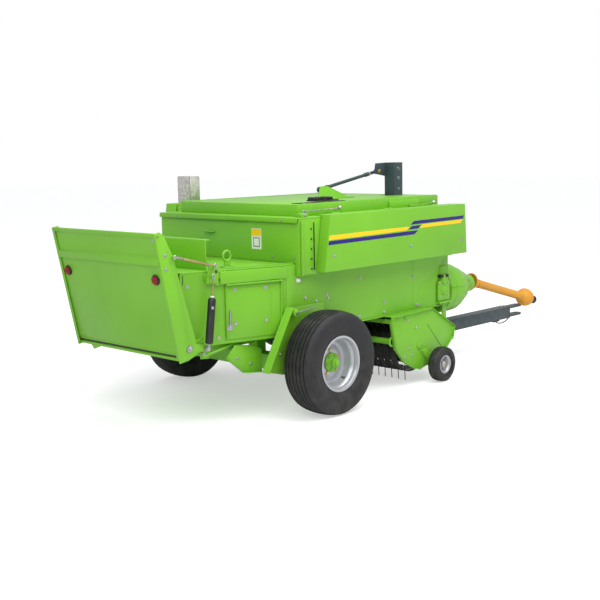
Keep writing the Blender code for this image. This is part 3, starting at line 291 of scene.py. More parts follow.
def spangle_group():
    """The crystal pattern of galvanised steel and the fine streaks of drawn steel."""
    group, start, end = new_group(
        "spangle",
        [("Color", "NodeSocketColor", (0.6, 0.6, 0.6, 1)), ("Scale", "NodeSocketFloat", 60.0),
         ("Contrast", "NodeSocketFloat", 0.2), ("Roughness", "NodeSocketFloat", 0.35)],
        [("Color", "NodeSocketColor"), ("Roughness", "NodeSocketFloat"), ("Height", "NodeSocketFloat")])
    nodes, links = group.nodes, group.links
    where = nodes.new("ShaderNodeTexCoord").outputs["Object"]
    cells = nodes.new("ShaderNodeTexVoronoi")
    links.new(start.outputs["Scale"], cells.inputs["Scale"])
    links.new(where, cells.inputs["Vector"])
    grey = nodes.new("ShaderNodeSeparateColor")
    links.new(cells.outputs["Color"], grey.inputs[0])
    swing = remap(nodes, links, grey.outputs[0], 0, 1, -1, 1)
    swing = sums(nodes, links, "MULTIPLY", swing, start.outputs["Contrast"])
    value = nodes.new("ShaderNodeHueSaturation")
    links.new(sums(nodes, links, "ADD", swing, 1.0), value.inputs["Value"])
    links.new(start.outputs["Color"], value.inputs["Color"])
    links.new(value.outputs[0], end.inputs["Color"])
    stains = remap(nodes, links, noise(nodes, links, 9.0, 5, where), 0.3, 0.7, -0.08, 0.12)
    links.new(sums(nodes, links, "ADD", start.outputs["Roughness"], stains), end.inputs["Roughness"])
    links.new(noise(nodes, links, 160.0, 3, where), end.inputs["Height"])
    return group


def place_group(material, group, values):
    """Sets a shader group in a material with the material's own values."""
    node = material.node_tree.nodes.new("ShaderNodeGroup")
    node.node_tree = group
    for label, value in values.items():
        node.inputs[label].default_value = value
    return node


def bump(material, height, strength, distance, normal=None):
    """A fine relief over the surface's own normal or over a given one."""
    node = material.node_tree.nodes.new("ShaderNodeBump")
    node.inputs["Strength"].default_value = strength
    node.inputs["Distance"].default_value = distance
    material.node_tree.links.new(height, node.inputs["Height"])
    if normal is not None:
        material.node_tree.links.new(normal, node.inputs["Normal"])
    return node.outputs["Normal"]


def new_material(name, colour):
    """An empty material, its shader and its links."""
    material = bpy.data.materials.new(name)
    material.use_nodes = True
    material.diffuse_color = colour
    return material, material.node_tree.nodes["Principled BSDF"], material.node_tree.links


# Materials


def weathered(name, colour, groups, strength, depth, values, wear=None, bare_or_highlight=None):
    """A material coloured and dusted by the weathering group, its edges given their own colour where wear is
    given. That colour is rubbed-through metal on most paints and a painted highlight on the green enamel.
    """
    colour = tuple(colour)
    material, shader, links = new_material(name, colour)
    weather = place_group(material, groups["weathering"], {"Color": colour, **values})
    shown, normal = weather.outputs["Color"], None
    if wear:
        edges = place_group(material, groups["edges"], wear)
        shown = mix_colour(material.node_tree.nodes, links, edges.outputs["Mask"], shown, bare_or_highlight)
        normal = edges.outputs["Normal"]
    links.new(shown, shader.inputs["Base Color"])
    links.new(weather.outputs["Roughness"], shader.inputs["Roughness"])
    links.new(bump(material, weather.outputs["Height"], strength, depth, normal), shader.inputs["Normal"])
    return material, shader


def painted(name, colour, groups, roughness=0.34, variation=0.06, dust=0.12, worn=0.55,
            bare_or_highlight=(0.30, 0.29, 0.27, 1), peel=0.05, metallic=0.0):
    """Sprayed enamel: orange peel, a little dust, and its edges rubbed through to what lies under. On the green
    enamel the edge colour is a lighter green, which is a painted highlight.
    """
    material, shader = weathered(name, colour, groups, peel, 0.002,
                                 {"Variation": variation, "Dust": dust, "Roughness": roughness},
                                 {"Radius": 0.0035, "Amount": worn}, bare_or_highlight)
    shader.inputs["Specular IOR Level"].default_value = 0.35
    shader.inputs["Metallic"].default_value = metallic
    shader.inputs["Coat Weight"].default_value = 0.08
    shader.inputs["Coat Roughness"].default_value = 0.12
    return material


def film(name, colour, groups, **values):
    """Printed film, smoother than the enamel and not rubbed."""
    return painted(name, colour, groups, worn=0.0, peel=0.02, **values)


def plated(name, colour, groups, roughness=0.30, scale=90.0, contrast=0.10):
    """Zinc-plated, galvanised or uncoated steel."""
    material, shader, links = new_material(name, colour)
    metal = place_group(material, groups["spangle"],
                        {"Color": colour, "Scale": scale, "Contrast": contrast, "Roughness": roughness})
    links.new(metal.outputs["Color"], shader.inputs["Base Color"])
    links.new(metal.outputs["Roughness"], shader.inputs["Roughness"])
    links.new(bump(material, metal.outputs["Height"], 0.10, 0.001), shader.inputs["Normal"])
    shader.inputs["Metallic"].default_value = 0.9
    return material


def rubber(name, colour, groups):
    """Tyre rubber with dust where it meets the ground."""
    values = {"Variation": 0.20, "Dust": 0.30, "Roughness": 0.62, "Dust Color": (0.17, 0.155, 0.13, 1),
              "Peel Scale": 420.0}
    return weathered(name, colour, groups, 0.25, 0.001, values)[0]


def moulded(name, colour, groups, roughness=0.42, strength=0.12, variation=0.05):
    """Moulded plastic with a fine grain."""
    values = {"Variation": variation, "Dust": 0.10, "Roughness": roughness, "Peel Scale": 300.0}
    return weathered(name, colour, groups, strength, 0.001, values)[0]


def lens(name, colour, groups):
    """Clear-coated red plastic with moulded rings."""
    values = {"Variation": 0.05, "Dust": 0.03, "Roughness": 0.14, "Peel Scale": 130.0}
    material, shader = weathered(name, colour, groups, 0.20, 0.002, values)
    shader.inputs["Specular IOR Level"].default_value = 0.3
    shader.inputs["Coat Weight"].default_value = 0.2
    return material


FINISHES = {}


def mix_paints(paints):
    """Every finish of the machine, by name."""
    groups = {"weathering": weathering_group(), "edges": wear_and_highlight_group(), "spangle": spangle_group()}
    FINISHES.update(
        # The green's edge colour is a lighter green: a painted highlight along its edges, not rubbed-through
        # metal.
        green=painted("green_enamel", paints.green, groups, bare_or_highlight=(0.30, 0.62, 0.12, 1)),
        grey=painted("grey_enamel", paints.grey, groups, roughness=0.42, variation=0.10, dust=0.20),
        black=painted("black_enamel", (0.014, 0.014, 0.015, 1), groups, roughness=0.38, dust=0.18,
                      bare_or_highlight=(0.10, 0.10, 0.10, 1)),
        silver=painted("rim_lacquer", paints.silver, groups, roughness=0.36, variation=0.05, dust=0.10,
                       worn=0.3, metallic=0.6, bare_or_highlight=(0.85, 0.86, 0.88, 1)),
        zinc=plated("zinc_plate", (0.50, 0.49, 0.50, 1), groups),
        yellow_zinc=plated("yellow_zinc_plate", (0.60, 0.43, 0.22, 1), groups, contrast=0.12),
        galvanised=plated("galvanised_sheet", (0.70, 0.68, 0.63, 1), groups, roughness=0.42, scale=46.0,
                          contrast=0.16),
        spring_steel=plated("spring_steel", (0.11, 0.105, 0.10, 1), groups, roughness=0.38, contrast=0.08),
        rubber=rubber("tyre_rubber", paints.rubber, groups),
        orange=moulded("guard_plastic", paints.orange, groups, variation=0.08),
        band=moulded("band_plastic", (0.017, 0.017, 0.019, 1), groups, roughness=0.36, strength=0.08,
                     variation=0.15),
        lens=lens("lamp_lens", paints.red, groups),
        navy=film("navy_film", paints.navy, groups, roughness=0.28, variation=0.04, dust=0.05),
        yellow=film("yellow_film", paints.yellow, groups, roughness=0.28, variation=0.03, dust=0.05),
        white=film("label_film", (0.82, 0.82, 0.80, 1), groups, roughness=0.35, variation=0.03, dust=0.10),
    )


# Shapes


PLANES = {
    "XY": lambda a, b, t: Vector((a, b, t)),
    "XZ": lambda a, b, t: Vector((a, t, b)),
    "YZ": lambda a, b, t: Vector((t, a, b)),
}


def round_edges(part, width, segments=2, sharper_than=25):
    """Bevels every edge where the surface turns."""
    sharp = [e for e in part.edges if len(e.link_faces) == 2 and e.calc_face_angle(0) > radians(sharper_than)]
    if sharp and width > 0:
        bmesh.ops.bevel(part, geom=sharp, offset=width, offset_type="OFFSET", segments=segments, profile=0.5,
                        affect="EDGES", clamp_overlap=True, material=-1)


def prism(outline, plane, low, high, bevel=0.0, segments=2):
    """A flat outline of points, drawn in a plane and drawn out from low to high across it."""
    part = bmesh.new()
    low, high = sorted((low, high))
    corners = [part.verts.new(PLANES[plane](a, b, low)) for a, b in outline]
    face = part.faces.new(corners)
    made = bmesh.ops.extrude_face_region(part, geom=[face])
    moved = [v for v in made["geom"] if isinstance(v, bmesh.types.BMVert)]
    bmesh.ops.translate(part, verts=moved, vec=PLANES[plane](0, 0, high - low))
    bmesh.ops.recalc_face_normals(part, faces=part.faces)
    round_edges(part, bevel, segments)
    return part


def slab(low, high, bevel=0.0):
    """A block between two opposite corners."""
    part = bmesh.new()
    bmesh.ops.create_cube(part, size=1)
    size = [abs(b - a) for a, b in zip(low, high)]
    bmesh.ops.scale(part, verts=part.verts, vec=size)
    bmesh.ops.translate(part, verts=part.verts, vec=[(a + b) / 2 for a, b in zip(low, high)])
    round_edges(part, bevel)
    return part


def aim(part, start, along):
    """Turns a part that was made along Z to point along a direction, and sets it at a point."""
    turn = Vector(along).to_track_quat("Z", "Y").to_matrix().to_4x4()
    bmesh.ops.transform(part, matrix=Matrix.Translation(start) @ turn, verts=part.verts)
    return part


def rod(start, end, radius, sides=20, bevel=0.0):
    """A round bar between two points, its two rims rounded."""
    start, end = Vector(start), Vector(end)
    part = bmesh.new()
    length = (end - start).length
    bmesh.ops.create_cone(part, cap_ends=True, segments=sides, radius1=radius, radius2=radius, depth=length)
    bmesh.ops.translate(part, verts=part.verts, vec=(0, 0, length / 2))
    round_edges(part, bevel, sharper_than=60)
    return aim(part, start, end - start)


def turned(profile, origin, along, steps=48, ring=False):
    """A profile of (radius, place) turned round an axis. A ring's profile closes on itself."""
    part = bmesh.new()
    points = [part.verts.new((radius, 0, height)) for radius, height in profile]
    edges = [part.edges.new(two) for two in zip(points, points[1:])]
    if ring:
        edges.append(part.edges.new((points[-1], points[0])))
    bmesh.ops.spin(part, geom=points + edges, cent=(0, 0, 0), axis=(0, 0, 1), angle=2 * pi, steps=steps,
                   use_merge=True, use_duplicate=False)
    bmesh.ops.remove_doubles(part, verts=part.verts, dist=SPIN_WELD)
    bmesh.ops.recalc_face_normals(part, faces=part.faces)
    return aim(part, origin, along)


def tube(points, radius, sides=10):
    """A round wire along a list of points."""
    points = [Vector(p) for p in points]
    directions = [(b - a).normalized() for a, b in zip(points, points[1:])]
    bends = [(a + b).normalized() for a, b in zip(directions, directions[1:])]
    tangents = [directions[0], *bends, directions[-1]]
    part = bmesh.new()
    circle = bmesh.ops.create_circle(part, cap_ends=True, segments=sides, radius=radius)
    turn = tangents[0].to_track_quat("Z", "Y").to_matrix().to_4x4()
    bmesh.ops.transform(part, matrix=Matrix.Translation(points[0]) @ turn, verts=circle["verts"])
    face = part.faces[:][0]
    for before, after, old, new in zip(points, points[1:], tangents, tangents[1:]):
        made = bmesh.ops.extrude_face_region(part, geom=[face])["geom"]
        face = next(item for item in made if isinstance(item, bmesh.types.BMFace))
        bend = old.rotation_difference(new).to_matrix().to_4x4()
        bmesh.ops.transform(part, matrix=Matrix.Translation(after) @ bend @ Matrix.Translation(-before),
                            verts=[item for item in made if isinstance(item, bmesh.types.BMVert)])
    return part


def torus(centre, along, major, minor, steps=28, sides=10):
    """A round ring of wire."""
    profile = [(major + minor * cos(2 * pi * i / sides), minor * sin(2 * pi * i / sides)) for i in range(sides)]
    return turned(profile, centre, along, steps, ring=True)


def hexagon(at, out, radius, height, bevel=0.0008):
    """A hexagon head or nut with its corners taken down."""
    part = rod(at, Vector(at) + Vector(out).normalized() * height, radius, 6)
    round_edges(part, bevel, 1, sharper_than=70)
    return part


def spokes(count, start=0.0, plane="XZ"):
    """Unit directions spread evenly in a plane, from a start angle."""
    for turn in range(count):
        angle = 2 * pi * turn / count + start
        yield PLANES[plane](cos(angle), sin(angle), 0)


class Piece:
    """A piece in the making. Shapes are added one by one, each with its finish."""

    def __init__(self, name):
        self.name = name
        self.whole = bmesh.new()
        self.finishes = []

    def add(self, part, finish="green"):
        """Takes in a shape, its doubles merged and its faces turned outwards."""
        material = FINISHES[finish]
        if material not in self.finishes:
            self.finishes.append(material)
        bmesh.ops.remove_doubles(part, verts=part.verts, dist=WELD)
        bmesh.ops.recalc_face_normals(part, faces=part.faces)
        for face in part.faces:
            face.material_index = self.finishes.index(material)
            face.smooth = True
        shape = bpy.data.meshes.new("shape")
        part.to_mesh(shape)
        part.free()
        self.whole.from_mesh(shape)
        bpy.data.meshes.remove(shape)
        return self

    def block(self, low, high, bevel=0.0, finish="green"):
        """A block between two corners, counted from the wheel axis, the middle plane and the ground."""
        return self.add(slab(place(*low), place(*high), bevel), finish)

    def bolt(self, at, out, size=None, finish="zinc", washer=True, proud=0.0):
        """A hexagon bolt head on its washer, standing on a surface."""
        size = size or bpy.context.scene.baler_sizes.bolt
        out = Vector(out).normalized()
        at = Vector(at) + out * proud
        if washer:
            self.add(rod(at - out * 0.001, at + out * size * 0.22, size * 1.45, 20, size * 0.06), finish)
        self.add(hexagon(at, out, size, size * 0.85, size * 0.10), finish)
        return self

    def done(self, body, slot, *nodes, crease=32):
        """Makes the object, which rides on a body and stands in for frame nodes. Its slot is not used."""
        mesh = bpy.data.meshes.new(self.name)
        self.whole.to_mesh(mesh)
        self.whole.free()
        for material in self.finishes:
            mesh.materials.append(material)
        mesh.set_sharp_from_angle(angle=radians(crease))
        piece = bpy.data.objects.new(self.name, mesh)
        bpy.context.scene.collection.objects.link(piece)
        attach(piece, body)
        if nodes:
            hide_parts(*nodes)
        return piece


def softened(node, width, segments=2):
    """A copy of a frame node's shape, its flat faces whole again and its edges rounded."""
    part = bmesh.new()
    part.from_mesh(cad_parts[node].data)
    bmesh.ops.remove_doubles(part, verts=part.verts, dist=FRAME_WELD)
    bmesh.ops.dissolve_limit(part, angle_limit=radians(1), verts=part.verts, edges=part.edges)
    round_edges(part, width, segments)
    return part


def sizes():
    """The sizes set in the sidebar."""
    return bpy.context.scene.baler_sizes


# Wheels


def tread_profile(radius, width, bead, grooves, depth, slot):
    """A tyre's section from the inner bead over the tread to the outer bead."""
    half = width / 2
    crown = half * 0.80

    def surface(across):
        """The crown's gentle curve."""
        return radius * (1 - 0.030 * (abs(across) / crown) ** 2.4)

    side = [(bead + 0.002, half * 0.72), (bead + 0.010, half * 0.80), (bead + 0.022, half * 0.835),
            (bead + 0.026, half * 0.83), (bead + 0.034, half * 0.86), (radius * 0.68, half * 0.955),
            (radius * 0.755, half), (radius * 0.80, half * 0.998), (radius * 0.805, half * 0.985),
            (radius * 0.812, half * 0.985), (radius * 0.817, half * 0.992), (radius * 0.88, half * 0.965),
            (radius * 0.885, half * 0.95), (radius * 0.892, half * 0.95), (radius * 0.897, half * 0.955),
            (radius * 0.93, half * 0.91), (radius * 0.955, half * 0.855)]
    tread = [(surface(crown), -crown)]
    for groove in grooves:
        low, high = groove - slot / 2, groove + slot / 2
        tread += [(surface(low), low - slot * 0.25), (surface(low) - depth, low), (surface(high) - depth, high),
                  (surface(high), high + slot * 0.25)]
    tread.append((surface(crown), crown))
    return [(r, -w) for r, w in side] + tread + side[::-1]


def wheel_pieces(side, name):
    """A road wheel: its tyre, its dished rim with bolts and valve, and its hub cap."""
    set_up = sizes()
    body = "wheel_" + name
    low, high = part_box("tyre_" + name)
    centre = (low + high) / 2
    radius, width = (high.z - low.z) / 2, high.y - low.y
    rim_low, rim_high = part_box("rim_" + name)
    rim, rim_half = (rim_high.z - rim_low.z) / 2, (rim_high.y - rim_low.y) / 2
    along = (0, -side, 0)
    steps = set_up.wheel_steps
    grooves = [width * share for share in (-0.315, -0.20, -0.068, 0.068, 0.20, 0.315)]
    tyre = Piece("tyre_rubber_" + name)
    section = tread_profile(radius - 0.0005, width, rim, grooves, set_up.groove_depth, set_up.groove_width)
    tyre.add(turned(section, centre, along, steps, ring=True), "rubber")
    tyre.done(body, "tyre", "tyre_" + name, crease=40)

    dish = Piece("rim_dish_" + name)
    bore = RIM_BORE
    profile = [(bore, -0.006), (0.086, -0.006), (0.108, -0.004), (0.128, 0.010), (0.150, 0.016), (0.172, 0.010),
               (rim - 0.040, 0.006), (rim - 0.033, -0.012), (rim - 0.030, -rim_half * 0.42),
               (rim - 0.026, -rim_half * 0.52), (rim - 0.012, -rim_half * 0.66), (rim - 0.009, -rim_half * 0.86),
               (rim - 0.004, -rim_half * 0.93), (rim + 0.008, -rim_half * 0.97), (rim + 0.012, -rim_half),
               (rim + 0.010, -rim_half - 0.002), (rim - 0.006, -rim_half * 0.985), (rim, -rim_half * 0.90),
               (rim, rim_half * 0.90), (rim + 0.010, rim_half), (rim - 0.006, rim_half),
               (rim - 0.012, rim_half * 0.80),
               (rim - 0.024, rim_half * 0.55), (rim - 0.030, 0.030), (0.165, 0.024), (0.120, 0.014), (bore, 0.006)]
    dish.add(turned(profile, centre, along, steps, ring=True), "silver")
    out = Vector((0, side, 0))
    for spoke in spokes(5, 0.4):
        dish.bolt(centre + spoke * STUD_CIRCLE + out * 0.005, out, 0.0115, "yellow_zinc")
    valve = centre + Vector((0.62, 0, -0.78)).normalized() * (rim - 0.040)
    stem = [valve + out * 0.020, valve + out * 0.045, valve + out * 0.066 + Vector((-0.006, 0, 0.004))]
    dish.add(tube(stem, 0.0045), "rubber")
    dish.done(body, "rim_paint", "rim_" + name, crease=28)

    hub = Piece("hub_cap_" + name)
    shape = [(0, -0.088), (0.012, -0.0875), (0.022, -0.085), (0.027, -0.081), (0.029, -0.068), (0.036, -0.066),
             (0.040, -0.062), (0.042, -0.040), (0.050, -0.032), (0.054, -0.026), (0.074, -0.024), (0.078, -0.021),
             (0.078, -0.008), (0.0305, -0.008), (0.0305, -0.030), (0, -0.030)]
    hub.add(turned(shape, centre, along, 48))
    for spoke in spokes(6, 0.1):
        hub.bolt(centre + spoke * CAP_CIRCLE + out * 0.024, out, 0.0105, "green", washer=False)
    hub.done(body, "green_paint", "hub_" + name)


def gauge_pieces(side, name):
    """A gauge wheel of the pick-up: its tyre and its pressed rim."""
    node = "gauge_wheel_" + name
    low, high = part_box(node)
    centre = (low + high) / 2
    radius, width = (high.z - low.z) / 2, high.y - low.y
    along, out = (0, -side, 0), Vector((0, side, 0))
    rim, bore = GAUGE_RIM, GAUGE_BORE
    tyre = Piece("gauge_tyre_" + name)
    grooves = [width * share for share in (-0.16, 0.16)]
    section = tread_profile(radius, width, rim, grooves, 0.004, 0.004)
    tyre.add(turned(section, centre, along, 72, ring=True), "rubber")
    tyre.done("gauge_wheel_" + name, "tyre", node, crease=40)
    dish = Piece("gauge_rim_" + name)
    half = width / 2
    profile = [(bore, -half * 0.60), (0.022, -half * 0.60), (0.026, -half * 0.52), (0.028, half * 0.10),
               (0.048, half * 0.16), (0.062, half * 0.08), (0.066, -half * 0.35), (0.071, -half * 0.62),
               (0.080, -half * 0.76), (0.083, -half * 0.80), (0.081, -half * 0.83), (0.074, -half * 0.78),
               (rim, -half * 0.60), (rim, half * 0.70), (0.070, half * 0.70), (0.063, half * 0.30),
               (0.030, half * 0.34), (0.026, half * 0.55), (bore, half * 0.55)]
    dish.add(turned(profile, centre, along, 64, ring=True), "silver")
    dish.add(turned([(0, -half * 0.74), (0.010, -half * 0.74), (0.0165, -half * 0.66), (0.018, -half * 0.60),
                     (0, -half * 0.60)], centre, along, 24), "yellow_zinc")
    for spoke in spokes(4, 0.5):
        dish.bolt(centre + spoke * GAUGE_STUD_CIRCLE + out * half * 0.11, out, 0.007)
    dish.done("gauge_wheel_" + name, "rim_paint")


# Pick-up


def shield_pieces(side, name):
    """The bent side shield with its lips, its pressed crease and its bolts."""
    face = SHIELD_FACE
    shield = Piece("shield_sheet_" + name)
    shield.add(softened("pickup_shield_" + name, 0.0018))

    def lips(corners, thick, low, high):
        """A bent lip along each stretch of the shield's edge."""
        points = [place(x, 0, z) for x, z in corners]
        for first, second in zip(points, points[1:]):
            inward = (second - first).normalized().cross(ACROSS) * thick
            outline = [(p.x, p.z) for p in (first, second, second + inward, first + inward)]
            shield.add(prism(outline, "XZ", side * low, side * high, 0.0012))

    lips([(1.50, 0.672), (0.93, 0.655), (0.905, 0.59), (0.955, 0.37), (1.07, 0.24), (1.22, 0.155), (1.33, 0.125)],
         0.006, face - 0.004, face + 0.024)
    lips([(1.505, 0.668), (1.857, 0.460), (1.838, 0.362), (1.64, 0.205)], 0.005, face - 0.002, face + 0.016)
    roof = [(0.935, 0.650), (1.49, 0.667), (1.49, 0.671), (0.935, 0.654)]
    shield.add(prism([(AXLE.x + x, z) for x, z in roof], "XZ", side * (face - 0.002), side * 0.809, 0.001))
    start, end = place(1.44, side * (face + 0.001), 0.535), place(1.655, side * (face + 0.001), 0.30)
    shield.add(rod(start, end, 0.0045, 12))
    out = (0, side, 0)
    for x, z in ((1.157, 0.594), (1.274, 0.514), (1.171, 0.347), (1.214, 0.277), (1.098, 0.277), (1.32, 0.352)):
        shield.bolt(place(x, side * face, z), out, 0.009)
    boss = place(1.32, side * (face - 0.002), 0.352)
    shield.add(rod(boss, boss + Vector((0, side * 0.014, 0)), 0.035, 28, 0.003))
    shield.done("pickup", "green_paint", "pickup_shield_" + name)


def band_pieces():
    """The curved bands between the tines, on their spokes and beam."""
    low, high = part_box("stripper_bands")
    centre = middle("tine_reel")
    reel = Vector((centre.x, 0, centre.z))
    beam = place(0.985, 0, 0.605)
    bands = Piece("stripper_band_set")
    bands.add(slab((beam.x - 0.025, low.y, beam.z - 0.02), (beam.x + 0.025, high.y, beam.z + 0.02), 0.003))
    first, last, count = radians(65), radians(290), 36
    angles = [first + (last - first) * i / count for i in range(count + 1)]
    outline = [(reel.x + BAND_OUTER * cos(a), reel.z + BAND_OUTER * sin(a)) for a in angles]
    outline += [(reel.x + BAND_INNER * cos(a), reel.z + BAND_INNER * sin(a)) for a in reversed(angles)]
    rib_radius = BAND_OUTER + 0.004
    spoke = reel + (beam - reel).normalized() * 0.24
    for i in range(-1, TINES):
        y = -OUTER_TINE + TINE_PITCH * (i + 0.5)
        bands.add(prism(outline, "XZ", y - 0.031, y + 0.031, 0.0018, 1), "band")
        for edge in (-0.028, 0.028):
            rib = [(reel.x + rib_radius * cos(a), y + edge, reel.z + rib_radius * sin(a)) for a in angles[::2]]
            bands.add(tube(rib, 0.0035, 6), "band")
        bands.add(rod((spoke.x, y, spoke.z), (beam.x, y, beam.z), 0.006, 8), "band")
    bands.done("pickup", "black_paint", "stripper_bands")


def reel_pieces():
    """The tine bars, their end discs, the core and the sprung tines."""
    low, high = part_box("tine_reel")
    centre = middle("tine_reel")
    half = OUTER_TINE + 0.04
    reel = Piece("tine_reel_set")
    core = [(0.03, -half), (0.173, -half), (0.175, -half + 0.004), (0.175, half - 0.004), (0.173, half),
            (0.03, half)]
    reel.add(turned(core, centre, ACROSS, 40, ring=True), "black")
    for start, end, radius, steps, bevel in (
            (low.y, high.y, 0.025, 24, 0), (-half - 0.005, -half + 0.005, 0.185, 48, 0.002),
            (half - 0.005, half + 0.005, 0.185, 48, 0.002)):
        reel.add(rod((centre.x, start, centre.z), (centre.x, end, centre.z), radius, steps, bevel), "black")
    for bar in range(4):
        angle = radians(-90 + bar * 90)
        radial, along = Vector((cos(angle), 0, sin(angle))), Vector((-sin(angle), 0, cos(angle)))
        pin = Vector((centre.x, 0, centre.z)) + radial * 0.155
        reel.add(rod(pin + Vector((0, -half, 0)), pin + Vector((0, half, 0)), 0.014, 14), "black")
        for i in range(TINES):
            y = -OUTER_TINE + TINE_PITCH * i
            base = pin + Vector((0, y, 0))
            coil = []
            for step in range(15):
                turn = 2 * pi * step / 7
                around = (radial * cos(turn) + along * sin(turn)) * 0.021
                coil.append(base + around + Vector((0, -0.012 + 0.0012 * step, 0)))
            root = coil[-1]
            tip = Vector((centre.x, y, centre.z)) + radial * TINE_TIP
            sweep = along * -0.012
            tine = [*coil, root.lerp(tip, 0.45) + sweep * 0.5, tip + sweep * 0.2]
            reel.add(tube(tine, 0.0042, 5), "spring_steel")
    reel.done("reel", "zinc_steel", "tine_reel")


def pickup_tube_piece():
    """The tube across the pick-up with a collar at each end."""
    low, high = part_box("pickup_tube")
    centre = (low + high) / 2
    pipe = Piece("pickup_pipe")
    pipe.add(rod((centre.x, low.y, centre.z), (centre.x, high.y, centre.z), (high.z - low.z) / 2, 32))
    for side in (-1, 1):
        end = high.y if side > 0 else low.y
        pipe.add(rod((centre.x, end - side * 0.012, centre.z), (centre.x, end, centre.z), 0.045, 32, 0.002))
    pipe.done("pickup", "green_paint", "pickup_tube")


# Hoods


STRIPES = (
    ("yellow", ((0.066, 1.432), (1.105, 1.438), (1.075, 1.408), (0.060, 1.395))),
    ("navy", ((0.058, 1.388), (1.235, 1.399), (1.180, 1.366), (0.052, 1.356))),
    ("navy", ((1.145, 1.441), (1.280, 1.442), (1.235, 1.414), (1.090, 1.412))),
    ("navy", ((1.170, 1.483), (1.935, 1.490), (1.915, 1.460), (1.125, 1.453))),
    ("yellow", ((1.290, 1.446), (1.915, 1.454), (1.875, 1.422), (1.255, 1.416))),
)


def hood_piece(side, name):
    """One side's hood with its rolled edges, stripes, bolts and hinges."""
    low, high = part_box("hood_" + name)
    face = high.y if side > 0 else low.y
    rise = high.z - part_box("hood_right")[1].z
    hood = Piece("hood_sheet_" + name)
    hood.add(softened("hood_" + name, 0.005, 3))
    proud = sizes().sticker
    for finish, outline in STRIPES:
        drawn = [(AXLE.x + x, z + rise) for x, z in outline]
        hood.add(prism(drawn, "XZ", face - side * 0.001, face + side * proud), finish)
    out = (0, side, 0)
    for x in (0.118, 1.129, 1.905):
        hood.bolt(Vector((AXLE.x + x, face, 1.266 + rise)), out, 0.010)
    hinge = Vector((0, side * 0.812, high.z + 0.0005))
    for x in (0.30, 0.98, 1.66):
        hinge.x = AXLE.x + x
        hood.add(slab(hinge + Vector((-0.05, -0.010, -0.001)), hinge + Vector((0.05, 0.010, 0.002)), 0.001))
        hood.add(rod(hinge + Vector((-0.05, 0, 0.002)), hinge + Vector((0.05, 0, 0.002)), 0.0045, 14))
    hood.done("hood_" + name, "green_paint", "hood_" + name)


def sign_piece():
    """The folded marker plate on the left hood."""
    low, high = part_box("sign_plate")
    sign = Piece("marker_plate")
    thick, corner = 0.004, 0.018
    for plane, start, end, across in (("YZ", low.y, high.y, low.x), ("XZ", low.x, high.x, low.y)):
        outline = [(start, low.z), (end, low.z), (end, high.z - corner),
                   (end - corner * 0.3, high.z - corner * 0.3), (end - corner, high.z), (start, high.z)]
        sign.add(prism(outline, plane, across, across + thick, 0.0012), "galvanised")
    for y, z in ((0.32, 0.42), (0.55, 0.28), (0.62, 0.55), (0.80, 0.28)):
        at = Vector((low.x, low.y + (high.y - low.y) * y, low.z + (high.z - low.z) * z))
        sign.add(torus(at, (1, 0, 0), 0.0052, 0.0011, 20, 6), "zinc")
        sign.add(rod(at + Vector((-0.0004, 0, 0)), at + Vector((0.001, 0, 0)), 0.0046, 16), "band")
    foot = slab((low.x + 0.001, low.y, low.z - 0.0002), (low.x + 0.045, high.y, low.z + 0.003), 0.001)
    sign.add(foot, "galvanised")
    for y in (0.3, 0.75):
        sign.bolt(Vector((low.x + 0.025, low.y + (high.y - low.y) * y, low.z + 0.003)), (0, 0, 1), 0.008)
    sign.done("hood_left", "zinc_steel", "sign_plate")


# Body


SOFT_NODES = ("side_wall_right", "side_wall_left", "chamber_side_right", "chamber_side_left", "chamber_roof",
              "chamber_floor", "rear_crown", "upper_rear_wall", "deck", "raised_deck", "front_wall",
              "side_door_right", "side_door_left", "axle_beam", "wheel_leg_right", "wheel_leg_left",
              "drawbar_bracket", "link_bracket")


def body_sheets():
    """The body's welded sheets, with rounded edges."""
    for node in SOFT_NODES:
        sheet = Piece(node + "_sheet")
        sheet.add(softened(node, sizes().edge))
        sheet.done("chassis", "green_paint", node)


def chamber_y(x):
    """The outer half width of the tapering chamber, from the wheel axis."""
    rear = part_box("chamber_roof")[0].x - AXLE.x
    return WALL_FACE - (CHAMBER_FRONT - x) / (CHAMBER_FRONT - rear) * (WALL_FACE - CHAMBER_NARROW)


